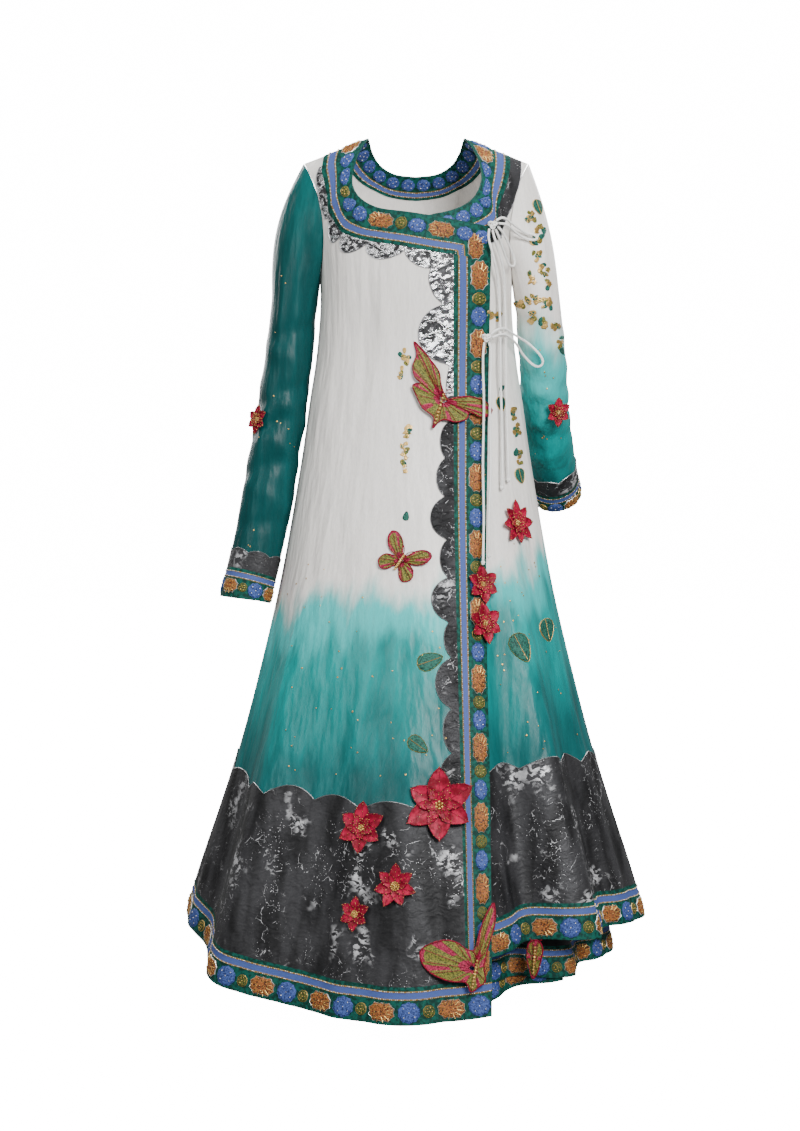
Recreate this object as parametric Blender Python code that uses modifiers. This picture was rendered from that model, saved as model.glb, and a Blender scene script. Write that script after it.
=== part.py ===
"""A floor-length anarkali gown, worn open and hollow, held at the shoulders.

Metres, +Z up. +X is the wearer's left, which a viewer in front sees on the right, and -Y is the
front. The origin lies on the centre plane at the level of the neck points of the shoulder seams.
Every panel is a thin wall through sections of the body and skirt. What lies on a panel is made
from the panel's own points, moved out.
"""

import math

import bmesh
import bpy
import numpy as np
from mathutils import Matrix, Vector
from mathutils.bvhtree import BVHTree

for thing in list(bpy.data.objects):
    bpy.data.objects.remove(thing, do_unlink=True)

GOWN = bpy.data.collections.new("anarkali_gown")
bpy.context.scene.collection.children.link(GOWN)

# Cloth thicknesses and the clearances between pieces
CLOTH = 0.0012
TRIM = 0.0010
SEAM = 0.0003
UNDERLAP_ROOM = 0.0020

# Body and skirt sections: height, half width, depth in front, depth behind
SECTIONS = (
    (0.000, 0.205, 0.112, 0.095),
    (-0.100, 0.182, 0.120, 0.104),
    (-0.190, 0.164, 0.126, 0.106),
    (-0.260, 0.159, 0.124, 0.101),
    (-0.330, 0.163, 0.118, 0.100),
    (-0.380, 0.169, 0.119, 0.106),
    (-0.430, 0.177, 0.126, 0.117),
    (-0.540, 0.193, 0.148, 0.142),
    (-0.735, 0.228, 0.194, 0.188),
    (-0.905, 0.268, 0.240, 0.232),
    (-1.035, 0.301, 0.276, 0.262),
    (-1.120, 0.325, 0.300, 0.284),
    (-1.225, 0.357, 0.328, 0.310),
    (-1.305, 0.380, 0.348, 0.330),
    (-1.400, 0.404, 0.370, 0.350),
)

# Soft folds of the skirt: angle of the ridge, reach before it, reach behind it, height of the
# ridge at the hem, and the level where it starts. A negative height is a trough.
FOLDS = (
    (-162, 16, 16, 0.022, -0.60),
    (-128, 15, 15, 0.026, -0.52),
    (-108, 10, 14, -0.014, -0.70),
    (-92, 14, 12, 0.012, -0.85),
    (-70, 12, 13, -0.018, -0.60),
    (-50, 14, 12, 0.024, -0.55),
    (-28, 10, 14, -0.012, -0.62),
    (-4, 14, 12, 0.014, -0.60),
    (31, 13, 12, -0.034, -0.46),
    (45, 13, 7, 0.030, -0.50),
    (60, 9, 12, -0.022, -0.50),
    (82, 15, 14, 0.010, -0.80),
    (104, 12, 12, -0.016, -0.65),
    (126, 14, 15, 0.026, -0.52),
    (146, 10, 10, -0.014, -0.62),
    (170, 18, 14, 0.020, -0.60),
)

# The level where the folds are full, and how late they grow
FOLD_FULL = -1.30
FOLD_GROWTH = 1.3

# Height of the hem round each layer: angle from the centre front, height
OVERLAP_HEM = ((-90, -1.305), (-60, -1.350), (-30, -1.380), (0, -1.383), (25, -1.366))
RIGHT_HEM = ((-20, -1.330), (15, -1.300), (40, -1.284), (60, -1.292), (90, -1.305))
BACK_HEM = ((90, -1.305), (130, -1.322), (180, -1.330), (230, -1.322), (270, -1.305))
UNDERSKIRT_HEM = ((-90, -1.362), (0, -1.352), (90, -1.362), (180, -1.372), (270, -1.362))
UNDERFLAP_HEM = ((0, -1.386), (16, -1.386), (28, -1.378), (45, -1.358))

# Shoulder: neck point, sleeve point, and how deep the chest rounds over from the shoulder seam
NECK_POINT = (0.080, 0.000)
SHOULDER_POINT = (0.186, -0.040)
SHOULDER_ROUNDING = 0.145
UNDERARM = -0.235
ARMHOLE_PULL = (0.136, -0.125)

# Necklines seen from the front: half breadth, height
OVERLAP_NECK = (
    (0.1165, -0.153),
    (0.0570, -0.1435),
    (-0.020, -0.131),
    (-0.063, -0.124),
    (-0.092, -0.107),
    (-0.105, -0.083),
    (-0.103, -0.055),
    (-0.094, -0.026),
    (-0.080, 0.000),
)
RIGHT_NECK = (
    (0.018, -0.137),
    (0.060, -0.127),
    (0.088, -0.111),
    (0.103, -0.088),
    (0.106, -0.062),
    (0.098, -0.030),
    (0.080, 0.000),
)
BACK_NECK = ((0.000, -0.054), (0.035, -0.050), (0.060, -0.037), (0.074, -0.018), (0.080, 0.000))

# Placket: where its inner and outer edge run, by level
PLACKET = (
    (-0.150, 0.0570, 0.1165),
    (-0.600, 0.0580, 0.1100),
    (-1.100, 0.0640, 0.1030),
    (-1.400, 0.0700, 0.1020),
)

# Ribbon widths, square to the edge they follow, and the foil above the hems
NECK_RIBBON = 0.036
SHOULDER_RIBBON = 0.046
FRONT_RIBBON = 0.054
HEM_RIBBON = 0.056
CUFF_RIBBON = 0.045
CUFF_FOIL = 0.032
FOIL_TALL = 0.318
FOIL_SHORT = 0.272
FOIL_SCALLOP = 0.016
FOIL_SCALLOPS_ROUND = 22

# Panel grid
LEFT_COLUMNS = 15
PLACKET_COLUMNS = 2
RIGHT_COLUMNS = 11
BACK_COLUMNS = 26
ARMHOLE_COLUMNS = 9
UNDERLAP_COLUMNS = 4
RAMP_COLUMNS = 2
SKIRT_LEVELS = (-0.235, -0.280, -0.330, -0.380, -0.430, -0.500, -0.580, -0.690, -0.840)
FOIL_ROWS = 3
RIBBON_ROWS = 1
YOKE_ROWS = 4
YOKE_SHARE = 0.8
LEAST_SLANT = 0.55
SLANT_REACH = 3

# Overlap flare beside the placket
FLARE = 0.034
FLARE_START = -0.55
FLARE_FULL = -1.38
FLARE_COLUMNS = 8

# Underskirt: where it leaves the outer cloth, and its hem as a share of the outer section
UNDERSKIRT_TOP = -0.500
UNDERSKIRT_FREE = -1.050
UNDERSKIRT_SHARE = 0.835
UNDERSKIRT_LEVELS = (-0.500, -0.580, -0.690, -0.840, -1.020, -1.200)
UNDERSKIRT_RIBBON = 0.050
UNDERFLAP_LEAN = 0.004
UNDERFLAP_COLUMNS = 4

# Sleeve sections: height, centre x, centre y, half width, half depth
LEFT_SLEEVE = (
    (-0.265, 0.2035, 0.006, 0.0375, 0.056),
    (-0.350, 0.2125, 0.005, 0.0385, 0.055),
    (-0.432, 0.2235, 0.000, 0.0400, 0.053),
    (-0.520, 0.2390, -0.006, 0.0415, 0.051),
    (-0.610, 0.2530, -0.014, 0.0415, 0.049),
    (-0.690, 0.2690, -0.024, 0.0405, 0.047),
    (-0.765, 0.2870, -0.036, 0.0400, 0.045),
)
RIGHT_SLEEVE = (
    (-0.265, 0.2035, 0.010, 0.0370, 0.056),
    (-0.330, 0.2105, 0.018, 0.0380, 0.056),
    (-0.400, 0.2180, 0.042, 0.0390, 0.054),
    (-0.460, 0.2250, 0.076, 0.0400, 0.050),
    (-0.515, 0.2340, 0.116, 0.0405, 0.047),
    (-0.565, 0.2440, 0.158, 0.0410, 0.045),
    (-0.601, 0.2525, 0.192, 0.0420, 0.044),
)
SLEEVE_RINGS = 7
# The sleeve head: how far each ring has turned from the armhole to the sleeve's first section
HEAD_TURNS = (0.00, 0.22, 0.48, 0.76)
HEAD_FULLNESS_LEFT = 0.018
HEAD_FULLNESS_RIGHT = 0.009
HEAD_LIFT = 0.4
RUN_STEP = 0.004
SLEEVE_SAMPLES = 80
HEAD_CLEAR_TOP = 0.0010
HEAD_CLEAR_UNDERARM = 0.0034

# Appliques: centre x, centre z, radius of the outline
FLOWERS = (
    ("flower_waist", 0.162, -0.634, 0.034),
    ("flower_placket_upper", 0.104, -0.729, 0.028),
    ("flower_placket_lower", 0.107, -0.790, 0.030),
    ("flower_hem_large", 0.034, -1.063, 0.052),
    ("flower_hem_low", -0.034, -1.181, 0.031),
    ("flower_hem_side", -0.086, -1.100, 0.036),
    ("flower_hem_edge", -0.096, -1.228, 0.024),
    ("flower_right_sleeve", 0.236, -0.452, 0.022),
    ("flower_left_sleeve", -0.262, -0.465, 0.022),
)
# Outlines of butterflies, as x and z from the middle of the body. The one on the bodice has a
# long wing up, one down to its left and a double one to its right.
BODICE_WINGS = (
    (0.085, -0.013), (0.074, 0.000), (0.046, 0.008), (0.024, 0.006), (0.008, 0.004),
    (-0.001, 0.026), (-0.004, 0.048), (-0.017, 0.067), (-0.029, 0.083), (-0.043, 0.098),
    (-0.039, 0.077), (-0.046, 0.058), (-0.043, 0.040), (-0.034, 0.030), (-0.047, 0.027),
    (-0.042, 0.010), (-0.032, -0.011), (-0.015, -0.026), (-0.017, -0.044), (-0.007, -0.034),
    (0.003, -0.030), (0.022, -0.034), (0.040, -0.028), (0.045, -0.016), (0.062, -0.024),
    (0.078, -0.022),
)
HEM_WINGS = (
    (0.014, 0.004), (0.022, 0.036), (0.032, 0.068), (0.031, 0.099), (0.020, 0.084),
    (0.009, 0.058), (0.001, 0.030), (-0.012, 0.030), (-0.029, 0.041), (-0.052, 0.043),
    (-0.080, 0.031), (-0.081, 0.012), (-0.066, -0.006), (-0.038, -0.018), (-0.014, -0.020),
    (-0.006, -0.034), (0.006, -0.026), (0.016, -0.018),
)
FRONT_WINGS = (
    (0.012, 0.003), (0.026, 0.008), (0.037, 0.020), (0.038, 0.033), (0.027, 0.036),
    (0.013, 0.027), (0.004, 0.012), (-0.004, 0.012), (-0.013, 0.027), (-0.027, 0.036),
    (-0.038, 0.033), (-0.037, 0.020), (-0.026, 0.008), (-0.012, 0.003), (-0.026, -0.003),
    (-0.031, -0.016), (-0.022, -0.026), (-0.012, -0.022), (-0.004, -0.011), (0.004, -0.011),
    (0.012, -0.022), (0.022, -0.026), (0.031, -0.016), (0.026, -0.003),
)
# Butterflies: centre x, centre z, tilt in degrees, how far the wings bend back, outline
BUTTERFLIES = (
    ("butterfly_bodice", 0.040, -0.436, 0, 1.8, BODICE_WINGS),
    ("butterfly_front", -0.026, -0.690, -32, -1.5, FRONT_WINGS),
    ("butterfly_hem", 0.0865, -1.302, 0, 0.8, HEM_WINGS),
)
PETALS = 6
PETAL_POINTS = 4
PETAL_WAIST = 0.42
PETAL_OPENING = 0.8
PETAL_CUP = 0.16
APPLIQUE = 0.0020
APPLIQUE_RING = 0.45
PROBE = 0.06

# Tie cords: their thickness, and each one's route seen from the front, as x and z
CORD = 0.0040
CORD_CLEAR = 0.0016
CORD_STEP = 0.016
CORD_ASIDE = (-0.006, 0.0, 0.006)
CORD_ABOVE = (-0.014, 0.0, 0.014)
KNOT_SIZE = (0.0088, 0.0062, 0.0080)
KNOT_GAP = 0.0007
BOWS = (
    (
        "upper",
        (0.1235, -0.149),
        1.0,
        (
            (
                "loop_long",
                ((0.1290, -0.1424), (0.1380, -0.1375), (0.1470, -0.1395), (0.1650, -0.1505),
                 (0.1815, -0.1590), (0.1950, -0.1620), (0.1990, -0.1665), (0.1940, -0.1700),
                 (0.1795, -0.1675), (0.1620, -0.1585), (0.1470, -0.1485), (0.1320, -0.1469)),
            ),
            (
                "loop_short",
                ((0.1315, -0.1522), (0.1410, -0.1620), (0.1530, -0.1830), (0.1610, -0.2020),
                 (0.1600, -0.2130), (0.1520, -0.2110), (0.1455, -0.1980), (0.1380, -0.1790),
                 (0.1283, -0.1567)),
            ),
            (
                "tail_outer",
                ((0.1229, -0.158), (0.1270, -0.172), (0.1360, -0.197), (0.1435, -0.230),
                 (0.1460, -0.300), (0.147, -0.400), (0.149, -0.500), (0.150, -0.560)),
            ),
            (
                "tail_inner",
                ((0.1177, -0.156), (0.1170, -0.172), (0.1245, -0.200), (0.1330, -0.240),
                 (0.1370, -0.300), (0.1380, -0.400), (0.1400, -0.500), (0.1390, -0.572)),
            ),
        ),
    ),
    (
        "lower",
        (0.1140, -0.331),
        0.0,
        (
            (
                "loop_long",
                ((0.1205, -0.3265), (0.1300, -0.3190), (0.1443, -0.3160), (0.1628, -0.3255),
                 (0.1813, -0.3355), (0.1957, -0.3473), (0.2082, -0.3619), (0.2100, -0.3722),
                 (0.2030, -0.3770), (0.1930, -0.3730), (0.1780, -0.3575), (0.1640, -0.3385),
                 (0.1490, -0.3270), (0.1360, -0.3260), (0.1235, -0.3312)),
            ),
            (
                "tail_outer",
                ((0.1185, -0.339), (0.1215, -0.360), (0.1190, -0.450), (0.1200, -0.540),
                 (0.1165, -0.620), (0.1160, -0.680)),
            ),
            (
                "tail_inner",
                ((0.1105, -0.339), (0.1080, -0.370), (0.1090, -0.450), (0.1070, -0.540),
                 (0.1080, -0.620), (0.1060, -0.690)),
            ),
        ),
    ),
)
# Where the upper bow's tails hang over the lower bow: top, bottom, how far they are raised, and
# over how long a run
CROSSING = (-0.300, -0.390, 0.0068, 0.030)


def smooth_value(rows, column, at):
    """A column of a table at a level, on a smooth curve through the table's rows."""
    rows = sorted(rows)
    keys = [row[0] for row in rows]
    values = [row[column] for row in rows]
    at = min(max(at, keys[0]), keys[-1])
    i = min(max(np.searchsorted(keys, at) - 1, 0), len(keys) - 2)

    def slope(k):
        low, high = max(k - 1, 0), min(k + 1, len(keys) - 1)
        return (values[high] - values[low]) / (keys[high] - keys[low])

    span = keys[i + 1] - keys[i]
    t = (at - keys[i]) / span
    start = values[i] * (2 * t**3 - 3 * t**2 + 1) + slope(i) * span * (t**3 - 2 * t**2 + t)
    end = values[i + 1] * (3 * t**2 - 2 * t**3) + slope(i + 1) * span * (t**3 - t**2)
    return start + end


def eased(t):
    """Zero to one with a soft start and end."""
    t = min(max(t, 0.0), 1.0)
    return t * t * (3 - 2 * t)


def fold_height(angle, z):
    """How far the skirt's folds move the cloth out, at an angle and a level."""
    total = 0.0
    for ridge, before, behind, height, start in FOLDS:
        turn = (angle - ridge + 180) % 360 - 180
        reach = behind if turn > 0 else before
        if abs(turn) < reach:
            crest = math.cos(0.5 * math.pi * turn / reach) ** 2
            total += height * crest * eased((start - z) / (start - FOLD_FULL)) ** FOLD_GROWTH
    return total


def skirt_point(angle, z, out=0.0, share=1.0):
    """A point of the body or skirt at an angle from the centre front, in degrees, and a level."""
    width = smooth_value(SECTIONS, 1, z)
    turn = math.radians(angle)
    depth = smooth_value(SECTIONS, 2 if math.cos(turn) > 0 else 3, z)
    x, y = width * math.sin(turn), -depth * math.cos(turn)
    reach = math.hypot(x, y)
    away = ((reach + fold_height(angle, z)) * share + out) / reach
    return Vector((x * away, y * away, z))


def shoulder_height(x):
    """Height of the shoulder seam above a breadth."""
    neck_x, neck_z = NECK_POINT
    tip_x, tip_z = SHOULDER_POINT
    part = (abs(x) - neck_x) / (tip_x - neck_x)
    return neck_z + (tip_z - neck_z) * min(max(part, 0.0), 1.0)


def chest_point(x, z, side):
    """A point of the bodice above the underarm: side is -1 in front and 1 behind."""
    width = smooth_value(SECTIONS, 1, z)
    depth = smooth_value(SECTIONS, 2 if side < 0 else 3, z)
    drop = min(max((shoulder_height(x) - z) / SHOULDER_ROUNDING, 0.0), 1.0)
    over = math.sqrt(max(1 - (1 - drop) ** 2, 0.0))
    return Vector((x, side * depth * over * math.sqrt(max(1 - (x / width) ** 2, 0.0)), z))


def along(points, parts):
    """Points spread along a line of points, at shares of its length."""
    points = np.array(points, float)
    steps = np.linalg.norm(np.diff(points, axis=0), axis=1)
    reach = np.concatenate([[0], np.cumsum(steps)]) / steps.sum()
    return [tuple(np.interp(part, reach, points[:, k]) for k in range(2)) for part in parts]


def shares(count):
    return [i / count for i in range(count + 1)]


def placket_angle(z, column):
    """The angle at which an edge of the placket lies."""
    x = smooth_value(PLACKET, column, z)
    return math.degrees(math.asin(x / smooth_value(SECTIONS, 1, z)))


def front_angles(z):
    """Angles of the front's columns at a level, from the left side seam to the right one."""
    inner, outer = placket_angle(z, 1), placket_angle(z, 2)
    left = [-90 + (inner + 90) * part for part in shares(LEFT_COLUMNS)]
    placket = [inner + (outer - inner) * part for part in shares(PLACKET_COLUMNS)]
    right = [outer + (90 - outer) * part for part in shares(RIGHT_COLUMNS)]
    return left + placket[1:] + right[1:]


def back_angles(z):
    """Angles of the back's columns, the same at every level."""
    return [90 + 180 * part for part in shares(BACK_COLUMNS)]


def foil_height(angle, tall):
    """Height of the foil above the hem, with its scalloped upper edge."""
    wave = abs(math.sin(math.radians(angle) * FOIL_SCALLOPS_ROUND / 2))
    return tall + FOIL_SCALLOP * (wave - 0.5)


def skirt_rows(angles_at, hem, tall, move):
    """Rows of a panel's points below the underarm, the last ones on the foil's and ribbon's edges."""
    rows = []
    for z in SKIRT_LEVELS:
        rows.append([skirt_point(angle, z, move(i, z)) for i, angle in enumerate(angles_at(z))])
    columns = []
    for i, angle in enumerate(angles_at(-1.2)):
        hem_z = smooth_value(hem, 1, angle)
        ribbon_z = hem_z + HEM_RIBBON
        foil_z = hem_z + foil_height(angle, tall(angle))
        levels = [foil_z + (ribbon_z - foil_z) * part for part in shares(FOIL_ROWS)]
        levels += [ribbon_z + (hem_z - ribbon_z) * part for part in shares(RIBBON_ROWS)[1:]]
        columns.append([skirt_point(angles_at(z)[i], z, move(i, z)) for z in levels])
    return rows + [list(row) for row in zip(*columns)]


def slants(neck, rim):
    """The sine between the neckline and the line down to the rim at each column, evened out."""
    result = []
    for i, (start, end) in enumerate(zip(neck, rim)):
        before, after = neck[max(i - 1, 0)], neck[min(i + 1, len(neck) - 1)]
        turn = (after[0] - before[0]) * (end[1] - start[1]) - (after[1] - before[1]) * (end[0] - start[0])
        sine = abs(turn) / (math.dist(before, after) * math.dist(start, end))
        result.append(max(sine, LEAST_SLANT))
    padded = result[:1] * SLANT_REACH + result + result[-1:] * SLANT_REACH
    return [sum(padded[i : i + 2 * SLANT_REACH + 1]) / (2 * SLANT_REACH + 1) for i in range(len(result))]


def yoke_rows(neck, rim, ribbon_at, side, move):
    """Rows of the bodice's points from the neckline to its rim, one of them on the ribbon's edge."""
    slant = slants(neck, rim)
    rows = []
    for k in range(YOKE_ROWS + 2):
        row = []
        for i, (start, end) in enumerate(zip(neck, rim)):
            edge = min(ribbon_at(i) / slant[i] / math.dist(start, end), YOKE_SHARE)
            part = edge * k if k < 2 else edge + (1 - edge) * (k - 1) / YOKE_ROWS
            x = start[0] + (end[0] - start[0]) * part
            z = start[1] + (end[1] - start[1]) * part
            point = chest_point(x, z, side)
            away = Vector((point.x, 3 * point.y, 0.0)).normalized()
            row.append(point + away * move(i))
        rows.append(row)
    return rows


def armhole(sign):
    """The armhole's edge seen from the front, from the shoulder point down to the underarm."""
    under = (smooth_value(SECTIONS, 1, UNDERARM), UNDERARM)
    pull, tip = ARMHOLE_PULL, SHOULDER_POINT
    edge = []
    for part in shares(ARMHOLE_COLUMNS)[:-1]:
        near, middle, far = (1 - part) ** 2, 2 * part * (1 - part), part**2
        x = tip[0] * near + pull[0] * middle + under[0] * far
        z = tip[1] * near + pull[1] * middle + under[1] * far
        edge.append((sign * x, z))
    return edge


def normals_of(rows, tube=False):
    """Outward directions at the points of a grid of rows."""
    grid = np.array([[tuple(point) for point in row] for row in rows])
    if tube:
        across = np.roll(grid, -1, axis=1) - np.roll(grid, 1, axis=1)
    else:
        across = np.gradient(grid, axis=1)
    turn = np.cross(np.gradient(grid, axis=0), across)
    return turn / np.maximum(np.linalg.norm(turn, axis=2, keepdims=True), 1e-12)


def moved_out(rows, distance, tube=False):
    """The rows again, moved out from the panel by a distance."""
    away = normals_of(rows, tube)
    return [
        [point + Vector(away[k][i]) * distance for i, point in enumerate(row)]
        for k, row in enumerate(rows)
    ]


def drawn_in(outer, inner, gap):
    return outer + (inner - outer).normalized() * gap


def trimmed(rows, top=0.0, bottom=0.0, start=0.0, end=0.0):
    """The rows with their outer points drawn in, which leaves the gap of a seam."""
    rows = [list(row) for row in rows]
    if top:
        rows[0] = [drawn_in(a, b, top) for a, b in zip(rows[0], rows[1])]
    if bottom:
        rows[-1] = [drawn_in(a, b, bottom) for a, b in zip(rows[-1], rows[-2])]
    for row in rows:
        if start:
            row[0] = drawn_in(row[0], row[1], start)
        if end:
            row[-1] = drawn_in(row[-1], row[-2], end)
    return rows


def part_of(rows, first_row, last_row, first=0, last=None):
    """Some rows and columns of a grid."""
    last = len(rows[0]) - 1 if last is None else last
    return [row[first : last + 1] for row in rows[first_row : last_row + 1]]


def finish_for(name, colour, roughness, metallic):
    """A plain finish in the piece's colour."""
    material = bpy.data.materials.new(name)
    material.use_nodes = True
    shader = material.node_tree.nodes["Principled BSDF"]
    shader.inputs["Base Color"].default_value = (*colour, 1.0)
    shader.inputs["Roughness"].default_value = roughness
    shader.inputs["Metallic"].default_value = metallic
    return material


# Colour, roughness and metallic value of each kind of piece
FINISHES = {
    "satin": ((0.70, 0.74, 0.72), 0.45, 0.0),
    "ribbon": ((0.01, 0.11, 0.08), 0.60, 0.0),
    "foil": ((0.08, 0.08, 0.09), 0.30, 0.8),
    "flower": ((0.55, 0.02, 0.08), 0.55, 0.0),
    "butterfly": ((0.20, 0.17, 0.03), 0.60, 0.0),
    "cord": ((0.80, 0.79, 0.74), 0.70, 0.0),
}


def keep(name, thing, finish):
    """Names an object, puts it in the gown's collection and gives it its own finish."""
    thing.name = name
    thing.data.name = name
    GOWN.objects.link(thing)
    thing.data.materials.append(finish_for(name + "_finish", *FINISHES[finish]))
    return thing


def wall_of(name, grids, thickness, finish, tube=False, centre=None):
    """An open surface on grids that share edges, thickened outwards; a centre closes its first row."""
    outer_faces.extend((moved_out(grid, thickness, tube), tube) for grid in grids)
    shape = bmesh.new()
    made = {}

    def corner(point):
        key = tuple(round(value, 6) for value in point)
        if key not in made:
            made[key] = shape.verts.new(point)
        return made[key]

    for grid in grids:
        for upper, lower in zip(grid, grid[1:]):
            for i in range(len(upper) if tube else len(upper) - 1):
                j = (i + 1) % len(upper)
                a, b, c, d = corner(upper[i]), corner(lower[i]), corner(lower[j]), corner(upper[j])
                for face in ((a, b, c), (a, c, d)):
                    if len(set(face)) == 3:
                        shape.faces.new(face)
        if centre is not None:
            ring = [corner(point) for point in grid[0]]
            for i, point in enumerate(ring):
                shape.faces.new((corner(centre), point, ring[(i + 1) % len(ring)]))
    mesh = bpy.data.meshes.new(name)
    shape.to_mesh(mesh)
    shape.free()
    piece = bpy.data.objects.new(name, mesh)
    wall = piece.modifiers.new("wall", "SOLIDIFY")
    wall.thickness = thickness
    wall.offset = 1.0
    keep(name, piece, finish)
    mesh.shade_smooth()
    return piece


# The outer face of each wall made so far, for what is laid on it
outer_faces = []

# Row and column numbers of the grids
PLACKET_OUT = LEFT_COLUMNS + PLACKET_COLUMNS
UNDERLAP = LEFT_COLUMNS - UNDERLAP_COLUMNS
FOIL_ROW = len(SKIRT_LEVELS)
RIBBON_ROW = FOIL_ROW + FOIL_ROWS
HEM_ROW = RIBBON_ROW + RIBBON_ROWS
HALF_SEAM = SEAM / 2
LAP = CLOTH + TRIM + 2 * SEAM + UNDERLAP_ROOM


def no_move(*place):
    return 0.0


def lap_over(column):
    """How far the overlap is raised over the layer under it, at a column of the front."""
    return LAP * eased((column - UNDERLAP + 1 + RAMP_COLUMNS) / RAMP_COLUMNS)


def overlap_move(column, z):
    """The overlap's lift over the layer under it, and its flare beside the placket."""
    flare = eased((FLARE_START - z) / (FLARE_START - FLARE_FULL))
    near = eased((column - PLACKET_OUT + FLARE_COLUMNS) / FLARE_COLUMNS)
    return lap_over(column) + FLARE * flare * near


def overlap_foil(angle):
    """The overlap's foil is taller in front than at the side seam."""
    return FOIL_SHORT + (FOIL_TALL - FOIL_SHORT) * eased((angle + 75) / 40)


def short_foil(angle):
    return FOIL_SHORT


def rim_of(row):
    return [(point.x, point.z) for point in row]


def hem_trims(name, panel_rows, foil_last=None):
    """The foil above a hem and the ribbon along it, laid on the panel's lower rows."""
    face = moved_out(panel_rows, CLOTH + SEAM)
    foil = part_of(face, FOIL_ROW, RIBBON_ROW, 0, foil_last)
    foil = trimmed(foil, bottom=HALF_SEAM, end=HALF_SEAM if foil_last else 0.0)
    wall_of(name + "_hem_foil", [foil], TRIM, "foil")
    ribbon = trimmed(part_of(face, RIBBON_ROW, HEM_ROW), top=HALF_SEAM)
    wall_of(name + "_hem_ribbon", [ribbon], TRIM, "ribbon")


# The overlap: the front that wraps over, from the left side seam to the placket
overlap_skirt = skirt_rows(front_angles, OVERLAP_HEM, overlap_foil, overlap_move)
overlap_skirt = trimmed(part_of(overlap_skirt, 0, HEM_ROW, 0, PLACKET_OUT), start=HALF_SEAM)
neck_left = along(OVERLAP_NECK[1:], shares(LEFT_COLUMNS + ARMHOLE_COLUMNS))[::-1]
neck_placket = along(OVERLAP_NECK[:2][::-1], shares(PLACKET_COLUMNS))[1:]
overlap_rim = armhole(-1) + rim_of(overlap_skirt[0])


def overlap_ribbon(column):
    """The neck ribbon is narrow at the shoulder and wide across the front."""
    wide = eased((column - 6) / 8)
    return SHOULDER_RIBBON + (FRONT_RIBBON - SHOULDER_RIBBON) * wide


overlap_yoke = yoke_rows(
    neck_left + neck_placket,
    overlap_rim,
    overlap_ribbon,
    -1,
    lambda i: lap_over(i - ARMHOLE_COLUMNS),
)
overlap_yoke = trimmed(overlap_yoke, start=HALF_SEAM)
overlap_yoke[-1][ARMHOLE_COLUMNS:] = overlap_skirt[0]
wall_of("front_overlap", [overlap_yoke, overlap_skirt], CLOTH, "satin")
hem_trims("overlap", overlap_skirt, LEFT_COLUMNS)

overlap_yoke_face = moved_out(overlap_yoke, CLOTH + SEAM)
overlap_neck = trimmed(part_of(overlap_yoke_face, 0, 1), bottom=HALF_SEAM)
wall_of("overlap_neck_ribbon", [overlap_neck], TRIM, "ribbon")

overlap_grid = [row[ARMHOLE_COLUMNS:] for row in overlap_yoke[:-1]] + overlap_skirt
overlap_grid_face = moved_out(overlap_grid, CLOTH + SEAM)
placket_last = YOKE_ROWS + 1 + RIBBON_ROW
placket = part_of(overlap_grid_face, 1, placket_last, LEFT_COLUMNS, PLACKET_OUT)
placket = trimmed(placket, top=HALF_SEAM, bottom=HALF_SEAM, start=HALF_SEAM)
wall_of("placket_ribbon", [placket], TRIM, "ribbon")

# The right front: it runs from under the placket to the right side seam
right_skirt = skirt_rows(front_angles, RIGHT_HEM, short_foil, no_move)
right_skirt = trimmed(part_of(right_skirt, 0, HEM_ROW, UNDERLAP), end=HALF_SEAM)
right_width = len(right_skirt[0])
right_neck = along(RIGHT_NECK, shares(right_width + ARMHOLE_COLUMNS - 1))
right_rim = rim_of(right_skirt[0]) + armhole(1)[::-1]
right_yoke = yoke_rows(right_neck, right_rim, lambda i: SHOULDER_RIBBON, -1, no_move)
right_yoke = trimmed(right_yoke, end=HALF_SEAM)
right_yoke[-1][:right_width] = right_skirt[0]
wall_of("front_right", [right_yoke, right_skirt], CLOTH, "satin")
right_lower = [row[PLACKET_OUT - UNDERLAP :] for row in right_skirt]
hem_trims("right", right_lower)
right_yoke_face = moved_out(right_yoke, CLOTH + SEAM)
wall_of("right_neck_ribbon", [part_of(right_yoke_face, 0, 1)], TRIM, "ribbon")

# The back, cut in one piece
back_skirt = trimmed(
    skirt_rows(back_angles, BACK_HEM, short_foil, no_move), start=HALF_SEAM, end=HALF_SEAM
)
half_neck = along(BACK_NECK[::-1], shares(BACK_COLUMNS // 2 + ARMHOLE_COLUMNS))
back_neck = half_neck + [(-x, z) for x, z in half_neck[-2::-1]]
back_rim = armhole(1) + rim_of(back_skirt[0]) + armhole(-1)[::-1]


def back_ribbon(column):
    """The back's neck ribbon is as wide as the front's at the shoulders, and narrower between."""
    aside = abs(2 * column / (len(back_neck) - 1) - 1)
    return NECK_RIBBON + (SHOULDER_RIBBON - NECK_RIBBON) * eased((aside - 0.5) / 0.5)


back_yoke = yoke_rows(back_neck, back_rim, back_ribbon, 1, no_move)
back_yoke = trimmed(back_yoke, start=HALF_SEAM, end=HALF_SEAM)
back_yoke[-1][ARMHOLE_COLUMNS : ARMHOLE_COLUMNS + BACK_COLUMNS + 1] = back_skirt[0]
wall_of("back_panel", [back_yoke, back_skirt], CLOTH, "satin")
hem_trims("back", back_skirt)
back_yoke_face = moved_out(back_yoke, CLOTH + SEAM)
wall_of("back_neck_ribbon", [part_of(back_yoke_face, 0, 1)], TRIM, "ribbon")

# The same ribbon faces the inside of the back's neck
back_yoke_inside = moved_out(back_yoke, -SEAM - TRIM)
wall_of("back_neck_facing", [part_of(back_yoke_inside, 0, 1)], TRIM, "ribbon")


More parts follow.
